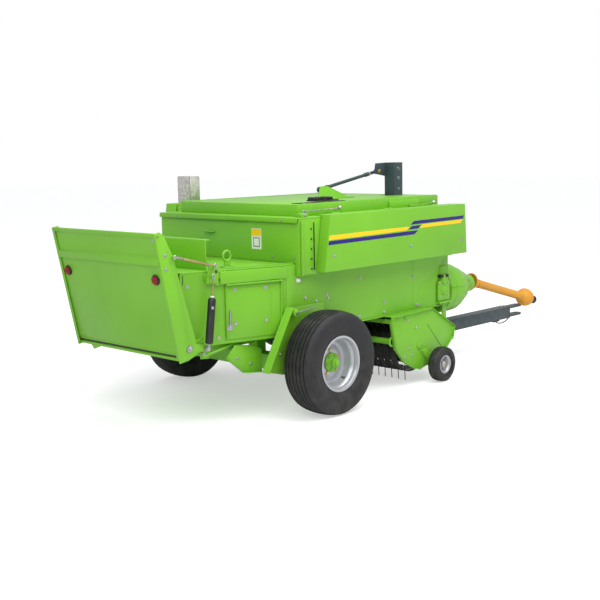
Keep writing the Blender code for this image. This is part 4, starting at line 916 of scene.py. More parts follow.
def side_details(side, name):
    """Bolts, lips, seams and the flanged bearing on one side of the body."""
    out = Vector((0, side, 0))
    kit = Piece("side_fittings_" + name)
    wall = side * WALL_FACE
    for x, z in ((-0.07, 0.933), (0.058, 0.894), (0.205, 0.902), (0.193, 0.936), (0.936, 0.782), (0.935, 0.694),
                 (1.354, 0.961), (1.397, 0.700), (1.425, 0.700), (1.83, 1.055), (0.60, 0.700), (0.62, 1.03)):
        kit.bolt(place(x, wall, z), out, 0.010)
    ball = place(-0.149, wall, 1.085)
    dome = [(0, 0.020), (0.012, 0.018), (0.019, 0.010), (0.021, 0.0), (0, 0.0)]
    kit.add(turned(dome, ball, out, 24), "white")
    kit.block((1.350, wall - 0.001, 0.665), (1.354, wall + side * 0.0012, 1.13))
    kit.block((-0.26, wall - 0.001, 0.652), (1.76, wall + side * 0.014, 0.662), 0.002)
    strip = side * UPPER_FACE
    kit.block((-0.135, strip - 0.002, 1.13), (-0.02, strip + side * 0.006, 1.55), 0.002)
    kit.block((-0.168, strip - 0.002, 1.125), (-0.150, strip + side * 0.022, 1.56), 0.003)
    kit.block((-0.015, strip - 0.002, 1.16), (-0.002, strip + side * 0.0015, 1.54), finish="band")
    for z in (1.17, 1.25, 1.33, 1.41, 1.49):
        kit.bolt(place(-0.045, strip + side * 0.006, z), out, 0.0065, "spring_steel")
    bearing = place(1.795, side * 0.836, 0.795)
    housing = [(0, 0.018), (0.014, 0.017), (0.020, 0.010), (0.034, 0.004), (0.044, -0.004), (0.046, -0.024),
               (0, -0.024)]
    kit.add(turned(housing, bearing, out, 36))
    for dx, dz in ((-0.060, 0.062), (0.060, 0.070), (-0.060, -0.062), (0.060, -0.055)):
        kit.bolt(place(1.795 + dx, side * 0.824, 0.795 + dz), out, 0.009)
    seat = [(1.705, 0.70), (1.885, 0.70), (1.885, 0.87), (1.865, 0.89), (1.725, 0.89), (1.705, 0.87)]
    kit.add(prism([(AXLE.x + x, z) for x, z in seat], "XZ", side * 0.812, side * 0.826, 0.003))
    kit.block((1.70, wall, 0.680), (1.885, side * 0.850, 0.694), 0.003)
    for x in (1.755, 1.835):
        kit.block((x - 0.026, wall, 0.915), (x + 0.020, side * 0.838, 0.945), 0.004, "band")
        kit.bolt(place(x, side * 0.838, 0.930), out, 0.010, "spring_steel")
    kit.block((1.805, side * 0.789, 0.50), (1.868, side * 0.801, 0.70), 0.002)
    kit.bolt(place(1.836, side * 0.801, 0.60), out, 0.008)
    kit.done("chassis", "green_paint")


def door_details(side, name):
    """The chamber's side door: its bent lip, its bolts and the turn-key beside it."""
    kit = Piece("door_fittings_" + name)
    normal = Vector((-(WALL_FACE - CHAMBER_NARROW) / CHAMBER_TAPER, 1, 0)).normalized()
    normal.y *= side

    def on_side(x, z, off=0.008):
        """A point on the tapering side, or a little off it."""
        return place(x, side * chamber_y(x), z) + normal * off

    def strip(x0, x1, z0, z1, off):
        """An upright strip that stands off the tapering side."""
        corners = [on_side(x0, 0, 0.006), on_side(x1, 0, 0.006), on_side(x1, 0, off), on_side(x0, 0, off)]
        return prism([(c.x, c.y) for c in corners], "XY", z0, z1, 0.0015)

    kit.add(strip(-0.80, -0.33, 1.100, 1.112, 0.034))
    kit.add(strip(-0.80, -0.792, 0.685, 1.105, 0.018))
    kit.add(strip(-0.425, -0.419, 0.685, 1.105, 0.0095))
    kit.add(strip(-0.338, -0.330, 0.685, 1.105, 0.018))
    for x, z in ((-0.72, 0.80), (-0.463, 0.80), (-0.72, 1.06), (-0.463, 1.06)):
        kit.bolt(on_side(x, z), normal, 0.010)
    pivot = on_side(-0.77, 0.775, 0.0085)
    kit.add(rod(pivot, pivot + normal * 0.006, 0.026, 28, 0.001), "zinc")
    kit.bolt(pivot, normal, 0.015, proud=0.006)
    handle = [pivot + normal * 0.008 + Vector((0.006 * share, 0, 0.13 * share)) for share in (0.1, 0.5, 1.0)]
    kit.add(tube(handle, 0.0075, 12), "zinc")
    rear = on_side(-1.13, 1.165, 0.001)
    kit.add(slab(rear + Vector((-0.003, -0.001, -0.035)), rear + Vector((0.003, 0.002, 0.035)), 0.0008), "band")
    for x, z in ((-1.10, 1.115), (-0.80, 1.170), (-0.85, 1.165), (-0.86, 0.70), (-0.76, 1.175)):
        kit.bolt(on_side(x, z, 0.001), normal, 0.010)
    kit.done("chassis", "green_paint")


def link_brackets(side, name):
    """The plates and pins that carry the stay, the damper and the ramp, and the folded sheet by the leg."""
    out = Vector((0, side, 0))
    kit = Piece("link_brackets_" + name)

    def plate(points, inner, outer):
        """A flat plate that stands in line with the machine."""
        kit.add(prism([(AXLE.x + x, z) for x, z in points], "XZ", side * inner, side * outer, 0.002))

    plate([(-0.975, 1.215), (-0.955, 1.250), (-0.890, 1.250), (-0.795, 1.225), (-0.785, 1.190), (-0.830, 1.120),
           (-0.870, 1.105), (-0.900, 1.120)], 0.648, 0.654)
    kit.block((-0.87, side * 0.600, 1.205), (-0.79, side * 0.654, 1.213), 0.002)
    for x, z in ((-0.815, 1.200), (-0.850, 1.150), (-0.885, 1.215)):
        kit.bolt(place(x, side * 0.654, z), out, 0.009, "spring_steel")
    plate([(-1.035, 0.668), (-1.000, 0.668), (-0.930, 0.610), (-0.950, 0.552), (-1.030, 0.560)], 0.606, 0.614)
    kit.add(rod(place(-1.005, side * 0.560, 0.600), place(-1.005, side * 0.622, 0.600), 0.020, 24, 0.002))
    kit.bolt(place(-1.005, side * 0.622, 0.600), out, 0.010)
    kit.bolt(place(-0.965, side * 0.614, 0.625), out, 0.010)
    kit.add(rod(place(-1.020, side * 0.618, 0.575), place(-0.700, side * 0.622, 0.628), 0.011, 16, 0.001))
    kit.block((-1.020, side * 0.575, 0.600), (-0.430, side * 0.583, 0.655), 0.002)
    ahead = LEFT_WHEEL_AHEAD if side > 0 else 0.0
    fold = [(-0.817 + ahead, 0.535), (-0.643 + ahead, 0.396), (-0.436 + ahead, 0.372)]
    plate(fold + [(-0.436 + ahead, 0.560), (-0.538 + ahead, 0.602), (-0.719 + ahead, 0.629)], 0.655, 0.661)
    for (x0, z0), (x1, z1) in zip(fold, fold[1:]):
        plate([(x0, z0), (x1, z1), (x1, z1 + 0.005), (x0, z0 + 0.006)], 0.655, 0.690)
    for x, z in ((-0.700, 0.520), (-0.560, 0.455)):
        kit.bolt(place(x + ahead, side * 0.661, z), out, 0.010)
    kit.done("chassis", "green_paint")


def rear_details():
    """What stands on the upper rear wall and the chamber's roof."""
    kit = Piece("rear_fittings")
    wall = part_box("upper_rear_wall")[0].x
    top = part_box("deck")[0].z
    half = UPPER_FACE
    kit.add(slab((wall - 0.026, -half, top - 0.026), (wall - 0.020, half, top + 0.006), 0.002))
    kit.add(slab((wall - 0.026, -half, top + 0.004), (wall + 0.004, half, top + 0.0105), 0.002))
    grip = [(wall - 0.001, 0.255, 1.438), (wall - 0.028, 0.250, 1.440), (wall - 0.030, 0.240, 1.441),
            (wall - 0.030, 0.154, 1.441), (wall - 0.028, 0.144, 1.440), (wall - 0.001, 0.139, 1.438)]
    kit.add(tube(grip, 0.006, 12))
    kit.add(slab((wall - 0.030, 0.145, 1.434), (wall, 0.250, 1.4375), 0.001))
    proud = sizes().sticker
    kit.add(slab((wall - proud, -0.425, 1.315), (wall + 0.0005, -0.310, 1.485)), "white")
    kit.add(slab((wall - proud * 1.6, -0.421, 1.425), (wall, -0.314, 1.481)), "yellow")
    kit.add(slab((wall - proud * 1.8, -0.404, 1.335), (wall, -0.331, 1.410)), "band")
    kit.add(slab((wall - proud * 2.2, -0.398, 1.341), (wall, -0.337, 1.404)), "white")
    for y in (-0.80, -0.55, 0.0, 0.45, 0.80):
        kit.bolt((wall, y, 1.262), (-1, 0, 0), 0.008)
    for y in (-0.68, 0.62):
        kit.bolt((wall - 0.026, y, top - 0.012), (-1, 0, 0), 0.0065)
    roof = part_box("chamber_roof")[1].z
    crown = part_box("rear_crown")[0].x
    for y in (-0.40, 0.0, 0.40):
        kit.add(slab((crown + 0.012, y - 0.06, roof), (crown + 0.055, y + 0.06, roof + 0.006), 0.001))
        kit.bolt((crown + 0.034, y, roof + 0.006), (0, 0, 1), 0.009)
    for side in (-1, 1):
        rear, front = AXLE.x - 0.90, AXLE.x - 0.19
        outline = [(rear, side * 0.605), (front, side * 0.79), (front, side * 0.775), (rear, side * 0.59)]
        kit.add(prism(outline, "XY", roof - 0.001, roof + 0.010, 0.002))
    kit.done("chassis", "green_paint")

    low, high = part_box("lifting_eye")
    eye = Piece("lifting_ring")
    at = (low + high) / 2
    eye.add(torus(Vector((at.x, at.y, high.z - 0.05)), ACROSS, 0.039, 0.010, 40, 12))
    eye.add(slab((low.x, low.y, low.z), (high.x, high.y, low.z + 0.008), 0.002))
    post = [(at.x + dx, low.z + rise) for dx, rise in ((-0.030, 0), (0.030, 0), (0.022, 0.055), (-0.022, 0.055))]
    eye.add(prism(post, "XZ", at.y - 0.006, at.y + 0.006, 0.001))
    for dx in (-0.038, 0.038):
        for dy in (-0.018, 0.018):
            eye.bolt((at.x + dx, at.y + dy, low.z + 0.008), (0, 0, 1), 0.006)
    eye.done("chassis", "green_paint", "lifting_eye")


def deck_details():
    """The latch rod, the strips and the small pieces on the deck."""
    kit = Piece("deck_fittings")
    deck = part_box("hood_right")[1].z
    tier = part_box("raised_deck")[1].z
    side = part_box("raised_deck")[0].y
    rail = ((-0.10, -0.785, 0.004), (-0.02, -0.770, 0.026), (0.16, -0.762, 0.030), (0.38, -0.762, 0.033))
    kit.add(tube([place(x, y, deck + rise) for x, y, rise in rail], 0.006, 10), "zinc")
    kit.add(torus(place(-0.04, -0.780, deck + 0.022), (0, 1, 0), 0.016, 0.005, 24, 8), "zinc")
    knob = place(0.405, -0.762, deck + 0.036)
    grip = [(0, -0.020), (0.014, -0.014), (0.020, 0), (0.014, 0.014), (0, 0.020)]
    kit.add(turned(grip, knob, (1, 0, 0), 20), "zinc")
    kit.add(torus(place(0.30, -0.762, deck + 0.032), (0, 0, 1), 0.013, 0.004, 24, 8), "yellow_zinc")
    kit.block((-0.135, -0.835, deck - 0.012), (-0.055, -0.765, deck + 0.018), 0.004)
    kit.bolt(place(-0.095, -0.835, deck + 0.004), (0, -1, 0), 0.009)
    ball = place(1.72, -0.760, deck + 0.022)
    knuckle = [(0, -0.020), (0.013, -0.015), (0.020, 0), (0.013, 0.015), (0, 0.020)]
    kit.add(turned(knuckle, ball, (0, 0, 1), 20), "zinc")
    kit.add(rod(place(1.50, -0.765, deck + 0.006), place(1.72, -0.760, deck + 0.020), 0.005, 10))
    kit.block((1.36, -0.785, deck - 0.001), (1.46, -0.75, deck + 0.014), 0.003)
    kit.block((0.02, side + 0.06, tier), (0.60, side + 0.14, tier + 0.005), 0.001, "band")
    for x in (0.42, 0.50, 0.58):
        start = place(x, side + 0.20, tier + 0.018)
        kit.add(rod(start, start + ACROSS * 0.12, 0.018, 20, 0.003), "black")
    kit.block((0.40, side + 0.19, tier), (0.66, side + 0.33, tier + 0.010), 0.002, "black")
    cover = [(AXLE.x + 1.10, deck - 0.010), (AXLE.x + 1.52, deck - 0.010), (AXLE.x + 1.52, deck + 0.052),
             (AXLE.x + 1.50, deck + 0.062), (AXLE.x + 1.12, deck + 0.062), (AXLE.x + 1.10, deck + 0.052)]
    kit.add(prism(cover, "XZ", side - 0.002, side - 0.024, 0.003))
    for x in (0.05, 0.60, 1.15, 1.70):
        for y in (side + 0.03, -side - 0.03):
            kit.bolt(place(x, y, tier), (0, 0, 1), 0.008)
    for y in (side + 0.004, -side - 0.014):
        kit.block((-0.03, y, tier - 0.002), (1.82, y + 0.010, tier + 0.004), 0.0015)
    kit.done("chassis", "green_paint")


def leg_details(side, name):
    """The pin, the latch rod, the bolts and the gusset of a wheel leg."""
    out = Vector((0, side, 0))
    kit = Piece("leg_fittings_" + name)
    face = side * LEG_FACE
    ahead = LEFT_WHEEL_AHEAD if side > 0 else 0.0
    pin = place(-0.235 + ahead, side * 0.82, 0.838)
    kit.add(rod(pin, pin + out * 0.045, 0.032, 28, 0.003))
    kit.add(rod(pin + out * 0.040, pin + out * 0.058, 0.012, 16, 0.001), "zinc")
    latch = ((-0.20, 0.855, 0.838), (-0.10, 0.852, 0.848), (0.0, 0.850, 0.856))
    kit.add(tube([place(x + ahead, side * y, z) for x, y, z in latch], 0.006, 10), "zinc")
    for x, z in ((-0.32, 0.42), (-0.18, 0.40), (0.06, 0.40), (-0.38, 0.52)):
        kit.bolt(place(x + ahead, face, z), out, 0.010)
    centre = AXLE.x + ahead
    gusset = [(centre - 0.06, 0.42), (centre + 0.06, 0.42), (centre + 0.03, 0.60), (centre - 0.03, 0.60)]
    kit.add(prism(gusset, "XZ", face, side * 0.822, 0.003))
    kit.done("chassis", "green_paint")


# Ramp


def ramp_at(height, depth):
    """A point of the ramp's section: up along its sheet and out behind it, as (x, z)."""
    x = RAMP_FOOT[0] - height * sin(RAMP_TURN) - depth * cos(RAMP_TURN)
    return (AXLE.x + x, RAMP_FOOT[1] + height * cos(RAMP_TURN) - depth * sin(RAMP_TURN))


def ramp_pieces():
    """The ramp's pressed sheet with its rolled top, lower bar and a dark strip above that bar as painted shadow of
    the gap, and its two sides with their lamps.
    """
    low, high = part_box("ramp_panel")
    sheet = Piece("ramp_sheet")
    sheet.add(softened("ramp_panel", 0.002))

    def rail(height, depth, radius, steps):
        """A round bar across the ramp."""
        x, z = ramp_at(height, depth)
        sheet.add(rod((x, low.y, z), (x, high.y, z), radius, steps, 0.002))

    rail(0.966, 0.010, 0.0095, 20)
    rail(0.004, -0.006, 0.012, 24)
    # A dark strip between the fold and the lower bar: painted shadow of the gap there.
    gap_shadow_strip = [ramp_at(0.020, -0.014), ramp_at(0.020, -0.005), ramp_at(0.036, 0.001), ramp_at(0.036, -0.010)]
    sheet.add(prism(gap_shadow_strip, "XZ", low.y + 0.001, high.y - 0.001), "band")
    rail(0.044, 0.002, 0.006, 16)
    bar = ramp_at(0.004, -0.006)
    bracket = [(0.50, bar[1] - 0.004), (0.36, bar[1] - 0.004), (0.37, bar[1] - 0.014), (0.455, bar[1] - 0.045)]
    sheet.add(prism(bracket, "YZ", bar[0] - 0.004, bar[0] + 0.004, 0.001))
    sheet.done("ramp", "green_paint", "ramp_panel")

    for side, name in SIDES:
        cheek = Piece("ramp_cheek_" + name)
        cheek.add(softened("ramp_side_" + name, 0.0025))
        out = Vector((0, side, 0))
        face, inner = side * CHEEK_FACE, side * CHEEK_INNER
        flange = [ramp_at(*at) for at in ((0.955, 0.0195), (0.955, 0.0150), (0.010, 0.0150), (0.010, 0.0195))]
        cheek.add(prism(flange, "XZ", inner - side * 0.020, inner + side * 0.004, 0.001))
        x, z = ramp_at(0.955, -0.004)
        cheek.add(rod((x, inner - side * 0.002, z), (x, face + side * 0.004, z), 0.016, 24, 0.002))
        cheek.bolt((x, face + side * 0.004, z), out, 0.007, "yellow_zinc", washer=False)
        for height, depth in ((0.80, -0.040), (0.70, -0.020)):
            x, z = ramp_at(height, depth)
            cheek.bolt((x, face, z), out, 0.009)
        x, z = ramp_at(0.93, 0.019)
        cheek.bolt((x, side * 0.628, z), (-1, 0, -0.2), 0.010)
        pin = place(-1.17, face, 0.665)
        cheek.add(rod(pin, pin + out * 0.010, 0.026, 28, 0.001), "zinc")
        cheek.bolt(pin, out, 0.015, proud=0.010)
        foot = place(-1.015, face, 0.650)
        cheek.add(rod(foot, foot + out * 0.006, 0.020, 24, 0.001), "zinc")
        cheek.done("ramp", "green_paint", "ramp_side_" + name)

        lamp = Piece("rear_lamp_" + name)
        low_lamp, high_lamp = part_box("lamp_" + name)
        lean = Vector((-cos(RAMP_TURN), 0, -sin(RAMP_TURN)))
        x, z = ramp_at(0.625, 0.0105)
        centre = Vector((x, (low_lamp.y + high_lamp.y) / 2, z))
        case = [(0, 0), (0.0395, 0), (0.0395, 0.010), (0.036, 0.014), (0.034, 0.014), (0.033, 0.008), (0, 0.008)]
        lamp.add(turned(case, centre, lean, 48), "black")
        glass = [(0.0335, 0.006), (0.0335, 0.016), (0.031, 0.022), (0.026, 0.0255), (0.024, 0.0245),
                 (0.021, 0.0275), (0.018, 0.0262), (0.014, 0.0288), (0.010, 0.0275), (0.005, 0.0292), (0, 0.0292)]
        lamp.add(turned([(0, 0.006)] + glass, centre, lean, 48), "lens")
        for shift in (-0.016, 0.016):
            screw = centre + ACROSS * shift
            lamp.add(rod(screw + lean * 0.024, screw + lean * 0.030, 0.0035, 12), "band")
        lamp.done("ramp", "red_lens", "lamp_" + name)


def stay_piece(side, name):
    """The threaded turnbuckle between the chamber and the ramp."""
    front, rear = place(-0.915, side * STAY_Y, 1.262), place(-1.30, side * STAY_Y, 1.36)
    along = (rear - front).normalized()
    length = (rear - front).length
    stay = Piece("turnbuckle_" + name)
    stay.add(rod(front + along * 0.015, rear, 0.0062, 14), "yellow_zinc")
    stay.add(rod(front + along * length * 0.22, front + along * length * 0.80, 0.0105, 6, 0.001), "yellow_zinc")
    for share in (0.17, 0.84):
        stay.add(hexagon(front + along * length * share, along, 0.0135, 0.012), "zinc")
    for turn in range(8):
        thread = front + along * (length * 0.84 + 0.02 + 0.004 * turn)
        stay.add(torus(thread, along, 0.0062, 0.0010, 14, 5), "zinc")
    stay.add(torus(front, ACROSS, 0.0150, 0.0055), "zinc")
    stay.add(torus(rear, ACROSS, 0.0105, 0.0070), "zinc")
    stay.add(rod(rear - ACROSS * 0.008, rear + ACROSS * 0.008, 0.010, 20, 0.002), "zinc")
    stay.done("stay_" + name, "zinc_steel", "stay_" + name)


def strut_pieces(side, name):
    """The damper: a plated rod in a black barrel with its end fittings."""
    top, foot = place(-0.945, side * STRUT_Y, 1.19), place(-1.015, side * STRUT_Y, 0.650)
    down = (foot - top).normalized()
    length = (foot - top).length
    shaft = Piece("damper_rod_" + name)
    shaft.add(rod(top + down * 0.012, top + down * (length - 0.19), 0.0055, 16), "yellow_zinc")
    shaft.add(torus(top, ACROSS, 0.0130, 0.0048, 24), "zinc")
    shaft.add(hexagon(top + down * 0.012, down, 0.0095, 0.012), "zinc")
    shaft.done("strut_rod_" + name, "zinc_steel", "strut_rod_" + name)
    barrel = Piece("damper_barrel_" + name)
    profile = [(0.0066, 0.142), (0.0135, 0.143), (0.014, 0.160), (0.019, 0.163), (0.021, 0.168), (0.0275, 0.170),
               (0.0300, 0.174), (0.0300, 0.300), (0.0292, 0.302), (0.0300, 0.304), (0.0300, length - 0.050),
               (0.0280, length - 0.040), (0.018, length - 0.034), (0, length - 0.034)]
    barrel.add(turned([(0, length - 0.060), (0.0066, length - 0.060), *profile], top, down, 40), "band")
    collar = [(0.0136, 0.146), (0.0150, 0.148), (0.0150, 0.160), (0.0136, 0.162)]
    barrel.add(turned(collar, top, down, 24, ring=True), "white")
    knob = top + down * 0.235 + Vector((-0.018, side * 0.032, 0))
    barrel.add(turned([(0, -0.006), (0.010, -0.004), (0.013, 0.002), (0.010, 0.008), (0, 0.010)], knob,
                      (0, side, 0), 20), "zinc")
    barrel.add(rod(foot - down * 0.046, foot - down * 0.012, 0.0095, 16, 0.001), "zinc")
    barrel.add(rod(foot + ACROSS * side * 0.010, foot - ACROSS * side * 0.026, 0.0185, 28, 0.003), "zinc")
    barrel.done("strut_barrel_" + name, "black_paint", "strut_barrel_" + name)


# Needle lever


def lever_pieces():
    """The needle lever's channel, its link to the body and its shaft."""
    low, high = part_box("needle_lever")
    lever = Piece("lever_channel")
    lever.add(softened("needle_lever", 0.003), "grey")
    y = low.y
    for z, radius in ((1.93, 0.012), (1.84, 0.012), (1.74, 0.010)):
        lever.add(torus(place(1.71, y, z), ACROSS, radius, 0.002, 24, 6), "zinc")
        lever.add(rod(place(1.71, y - 0.0004, z), place(1.71, y + 0.002, z), radius, 20), "band")
    lever.bolt(place(1.56, -0.199, 1.905), ACROSS, 0.014)
    lever.bolt(place(1.56, -0.25, 1.905), -ACROSS, 0.014, "yellow_zinc")
    lever.block((1.652, y + 0.004, high.z - 0.008), (1.768, y + 0.116, high.z), 0.002, "grey")
    lever.done("needle_lever", "grey_paint", "needle_lever")

    link = Piece("lever_link")
    front, rear = place(1.56, LEVER_LINK_Y, 1.905), place(0.76, LEVER_LINK_Y, 1.762)
    along = (rear - front).normalized()
    link.add(rod(front + along * 0.024, rear - along * 0.022, 0.0150, 28), "grey")
    link.add(rod(front + along * 0.024, front + along * 0.115, 0.0135, 20), "zinc")
    link.add(hexagon(front + along * 0.112, along, 0.021, 0.020), "zinc")
    link.add(rod(front + along * 0.130, front + along * 0.175, 0.0195, 28, 0.003), "grey")
    ring = [(0.0130, -0.012), (0.0265, -0.012), (0.0280, -0.009), (0.0280, 0.009), (0.0265, 0.012),
            (0.0130, 0.012)]
    link.add(turned(ring, front, ACROSS, 36, ring=True), "grey")
    disc = [(0, -0.012), (0.0245, -0.012), (0.0260, -0.009), (0.0260, 0.009), (0.0245, 0.012), (0, 0.012)]
    link.add(turned(disc, rear, ACROSS, 36), "grey")
    link.add(rod(rear - along * 0.115, rear - along * 0.030, 0.0200, 28, 0.003), "black")
    link.done("needle_link", "grey_paint", "needle_link")

    shaft = Piece("lever_shaft_set")
    shaft.add(softened("lever_shaft", 0.002), "grey")
    shaft.done("chassis", "grey_paint", "lever_shaft")


# Driveline


def guard_pieces():
    """The flywheel's drum guard with its ribs, bolts and cone, and the gearbox behind it."""
    y, z = DRIVE_Y, DRIVE_Z
    x0, drum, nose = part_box("flywheel_guard")[0].x, AXLE.x + DRUM_END, AXLE.x + DRUM_NOSE
    guard = Piece("flywheel_drum")
    profile = [(0, x0), (0.212, x0), (0.228, x0 + 0.008), (0.2345, x0 + 0.030), (0.2345, x0 + 0.080),
               (0.2305, x0 + 0.084), (0.2305, x0 + 0.088), (0.2345, x0 + 0.092), (0.2345, drum - 0.040),
               (0.2320, drum - 0.014), (0.2220, drum + 0.010), (0.2020, drum + 0.060), (0.1760, drum + 0.120),
               (0.1430, drum + 0.185), (0.112, drum + 0.245), (0.099, nose - 0.090), (0.088, nose - 0.075),
               (0.0850, nose - 0.068), (0.0850, nose - 0.004),
               (0.0820, nose), (0.070, nose), (0.070, nose - 0.030), (0, nose - 0.030)]
    guard.add(turned(profile, Vector((0, y, z)), (1, 0, 0), 72))
    for spoke in spokes(8, 0.2, "YZ"):
        at = Vector((drum + 0.118, y, z)) + spoke * 0.1765
        guard.bolt(at, (0.41, spoke.y * 0.91, spoke.z * 0.91), 0.007, "green")
    for spoke in spokes(3, 0.9, "YZ"):
        start = Vector((x0 + 0.02, y, z)) + spoke * 0.236
        guard.add(rod(start, start + Vector((drum - x0 - 0.05, 0, 0)), 0.004, 10))
    guard.add(rod((nose - 0.03, y, z), (nose + 0.075, y, z), 0.016, 16), "spring_steel")
    pin = Vector((nose + 0.075, y, z))
    guard.add(rod(pin - ACROSS * 0.028, pin + ACROSS * 0.028, 0.0215, 24, 0.002), "spring_steel")
    for spoke in spokes(10, 0.2, "YZ"):
        start = Vector((drum + 0.020, y, z)) + spoke * 0.2185
        stop = Vector((nose - 0.100, y, z)) + spoke * 0.108
        guard.add(rod(start, start.lerp(stop, 0.9), 0.0045, 10))
    guard.done("chassis", "green_paint", "flywheel_guard")

    box = Piece("gearbox_case")
    box.add(softened("gearbox", 0.012, 3), "grey")
    low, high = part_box("gearbox")
    for share in (0.12, 0.5, 0.88):
        for level, out in ((low.z, -1), (high.z, 1)):
            box.bolt(((low.x + high.x) / 2, low.y + (high.y - low.y) * share, level), (0, 0, out), 0.010)
    box.done("chassis", "grey_paint", "gearbox")


def shaft_pieces():
    """The drive shaft's plastic guard in its two sliding halves, and the yoke."""
    along = Vector((cos(SHAFT_SLOPE), 0, -sin(SHAFT_SLOPE)))
    upward = along.cross(ACROSS) * -1
    origin = place(SHAFT_START, DRIVE_Y, DRIVE_Z)
    length = SHAFT_LENGTH
    ribs = [ACROSS * spoke.x + upward * spoke.z for spoke in spokes(6)]
    inner = Piece("shaft_guard_inner")
    bell = [(0.0225, 0.004), (0.030, 0.002), (0.050, -0.014), (0.070, -0.028), (0.082, -0.034), (0.0855, -0.034),
            (0.0860, -0.030), (0.076, -0.012), (0.062, 0.020), (0.050, 0.052), (0.044, 0.070), (0.0365, 0.088),
            (0.0358, 0.100), (0.0358, length * 0.70), (0.0225, length * 0.70)]
    inner.add(turned(bell, origin, along, 56, ring=True), "orange")
    inner.done("shaft", "orange_plastic", "shaft_inner")

    front = origin + along * length

    def from_front(profile):
        """A section with its places counted back from the shaft's front end."""
        return [(radius, length + at) for radius, at in profile]

    outer = Piece("shaft_guard_outer")
    sleeve = [(0.0368, 0.092), (0.0440, 0.093), (0.0450, 0.100), (0.0450, 0.128), (0.0425, 0.134)]
    cone = [(0.0425, -0.235), (0.0460, -0.228), (0.0480, -0.215), (0.056, -0.205), (0.076, -0.192),
            (0.086, -0.176), (0.089, -0.160), (0.0945, -0.156), (0.0960, -0.146), (0.0935, -0.140),
            (0.0960, -0.134), (0.0950, -0.122), (0.0925, -0.116), (0.0935, -0.110), (0.0895, -0.090),
            (0.0860, -0.080), (0.0830, -0.077), (0.0800, -0.079), (0.0850, -0.108), (0.0850, -0.130),
            (0.0780, -0.150), (0.0368, -0.156)]
    outer.add(turned(sleeve + from_front(cone), origin, along, 72, ring=True), "orange")
    for rib in ribs:
        start, end = front - along * 0.150 + rib * 0.092, front - along * 0.086 + rib * 0.085
        outer.add(rod(start, end, 0.0055, 10), "orange")
    outer.bolt(front - along * 0.245 - ACROSS * 0.043, -ACROSS, 0.007)
    outer.done("shaft_tube", "orange_plastic", "shaft_outer")

    yoke = Piece("shaft_yoke_fork")
    reach = YOKE_REACH
    fork = [(0, -0.30), (0.034, -0.30), (0.034, -0.13), (0.040, -0.10), (0.043, -0.05), (0.0445, -0.03),
            (0.0445, -0.004), (0.0400, 0.004), (0.0400, 0.014), (0.0445, 0.022), (0.0445, reach - 0.006),
            (0.0420, reach), (0.0220, reach), (0.0220, -0.02), (0, -0.02)]
    yoke.add(turned(from_front(fork), origin, along, 48), "band")
    for rib in ribs:
        start, end = front + along * 0.02, front + along * (reach - 0.004)
        yoke.add(rod(start + rib * 0.0225, end + rib * 0.0225, 0.0035, 8), "spring_steel")
    yoke.add(hexagon(front + along * 0.028 + ACROSS * 0.040, ACROSS, 0.009, 0.010), "zinc")
    yoke.done("yoke", "black_paint", "shaft_yoke")


# Drawbar and jack


def drawbar_pieces():
    """The drawbar with its bolts and hook, its bracket's bolts, and the parking jack."""
    low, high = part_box("drawbar")
    bar = Piece("drawbar_beam")
    bar.add(softened("drawbar", 0.004, 3), "grey")
    y = DRIVE_Y
    for x in (3.27, 3.34):
        for z, out in ((high.z, 1), (low.z, -1)):
            bar.bolt(place(x, y, z), (0, 0, out), 0.013)
    hook = ((3.14, -0.002), (3.15, -0.026), (3.20, -0.042), (3.27, -0.044), (3.34, -0.030), (3.39, -0.002),
            (3.41, 0.030))
    bar.add(tube([place(x, y - 0.03, low.z + rise) for x, rise in hook], 0.006, 10), "spring_steel")
    bar.block((3.08, y - 0.05, low.z - 0.016), (3.18, y - 0.01, low.z + 0.002), 0.002, "black")
    bar.block((3.345, y - 0.062, low.z - 0.002), (3.368, y + 0.062, high.z + 0.002), 0.003, "grey")
    bar.add(rod(place(3.365, y - 0.030, 0.365), place(3.390, y - 0.030, 0.365), 0.012, 16, 0.001), "zinc")
    for x in (2.30, 2.75):
        bar.block((x, y - 0.0605, low.z + 0.030), (x + 0.10, y - 0.059, high.z - 0.030), 0.0004, "grey")
    bar.done("chassis", "grey_paint", "drawbar")

    bracket = Piece("bracket_bolts")
    right, left = ((2.05, 0.40), (2.14, 0.40), (2.05, 0.35), (1.93, 0.52)), ((1.93, 0.40), (1.93, 0.52))
    for side, points in ((-1, right), (1, left)):
        for x, z in points:
            bracket.bolt(place(x, y + side * 0.076, z), (0, side, 0), 0.015)
    bracket.done("chassis", "zinc_steel")

    sleeve = Piece("jack_tube")
    sleeve.add(softened("jack_sleeve", 0.002), "grey")
    centre = middle("jack_sleeve")
    crank = Vector((centre.x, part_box("jack_sleeve")[1].y, centre.z))
    sleeve.add(rod(crank, crank + ACROSS * 0.018, 0.008, 14, 0.001), "zinc")
    sleeve.add(torus(crank + Vector((0, 0.022, -0.016)), (1, 0, 0), 0.017, 0.003, 24, 8), "zinc")
    sleeve.done("chassis", "grey_paint", "jack_sleeve")

    leg_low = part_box("jack_leg")[0]
    leg = Piece("jack_post")
    leg.add(softened("jack_leg", 0.0015), "zinc")
    for z in (0.07, 0.12, 0.17, 0.22):
        leg.add(rod((centre.x, leg_low.y + 0.0611, z), (centre.x, leg_low.y + 0.064, z), 0.010, 20), "band")
    leg.done("jack", "zinc_steel", "jack_leg")


def chamber_pieces():
    """The plunger inside the chamber with its wear strips."""
    low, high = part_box("plunger")
    ram = Piece("plunger_block")
    ram.add(softened("plunger", 0.006), "grey")
    for share in (0.15, 0.5, 0.85):
        y = low.y + (high.y - low.y) * share
        strip = slab((low.x - 0.010, y - 0.03, low.z + 0.02), (low.x + 0.004, y + 0.03, high.z - 0.02), 0.002)
        ram.add(strip, "spring_steel")
    ram.done("chassis", "grey_paint", "plunger")


# Stage


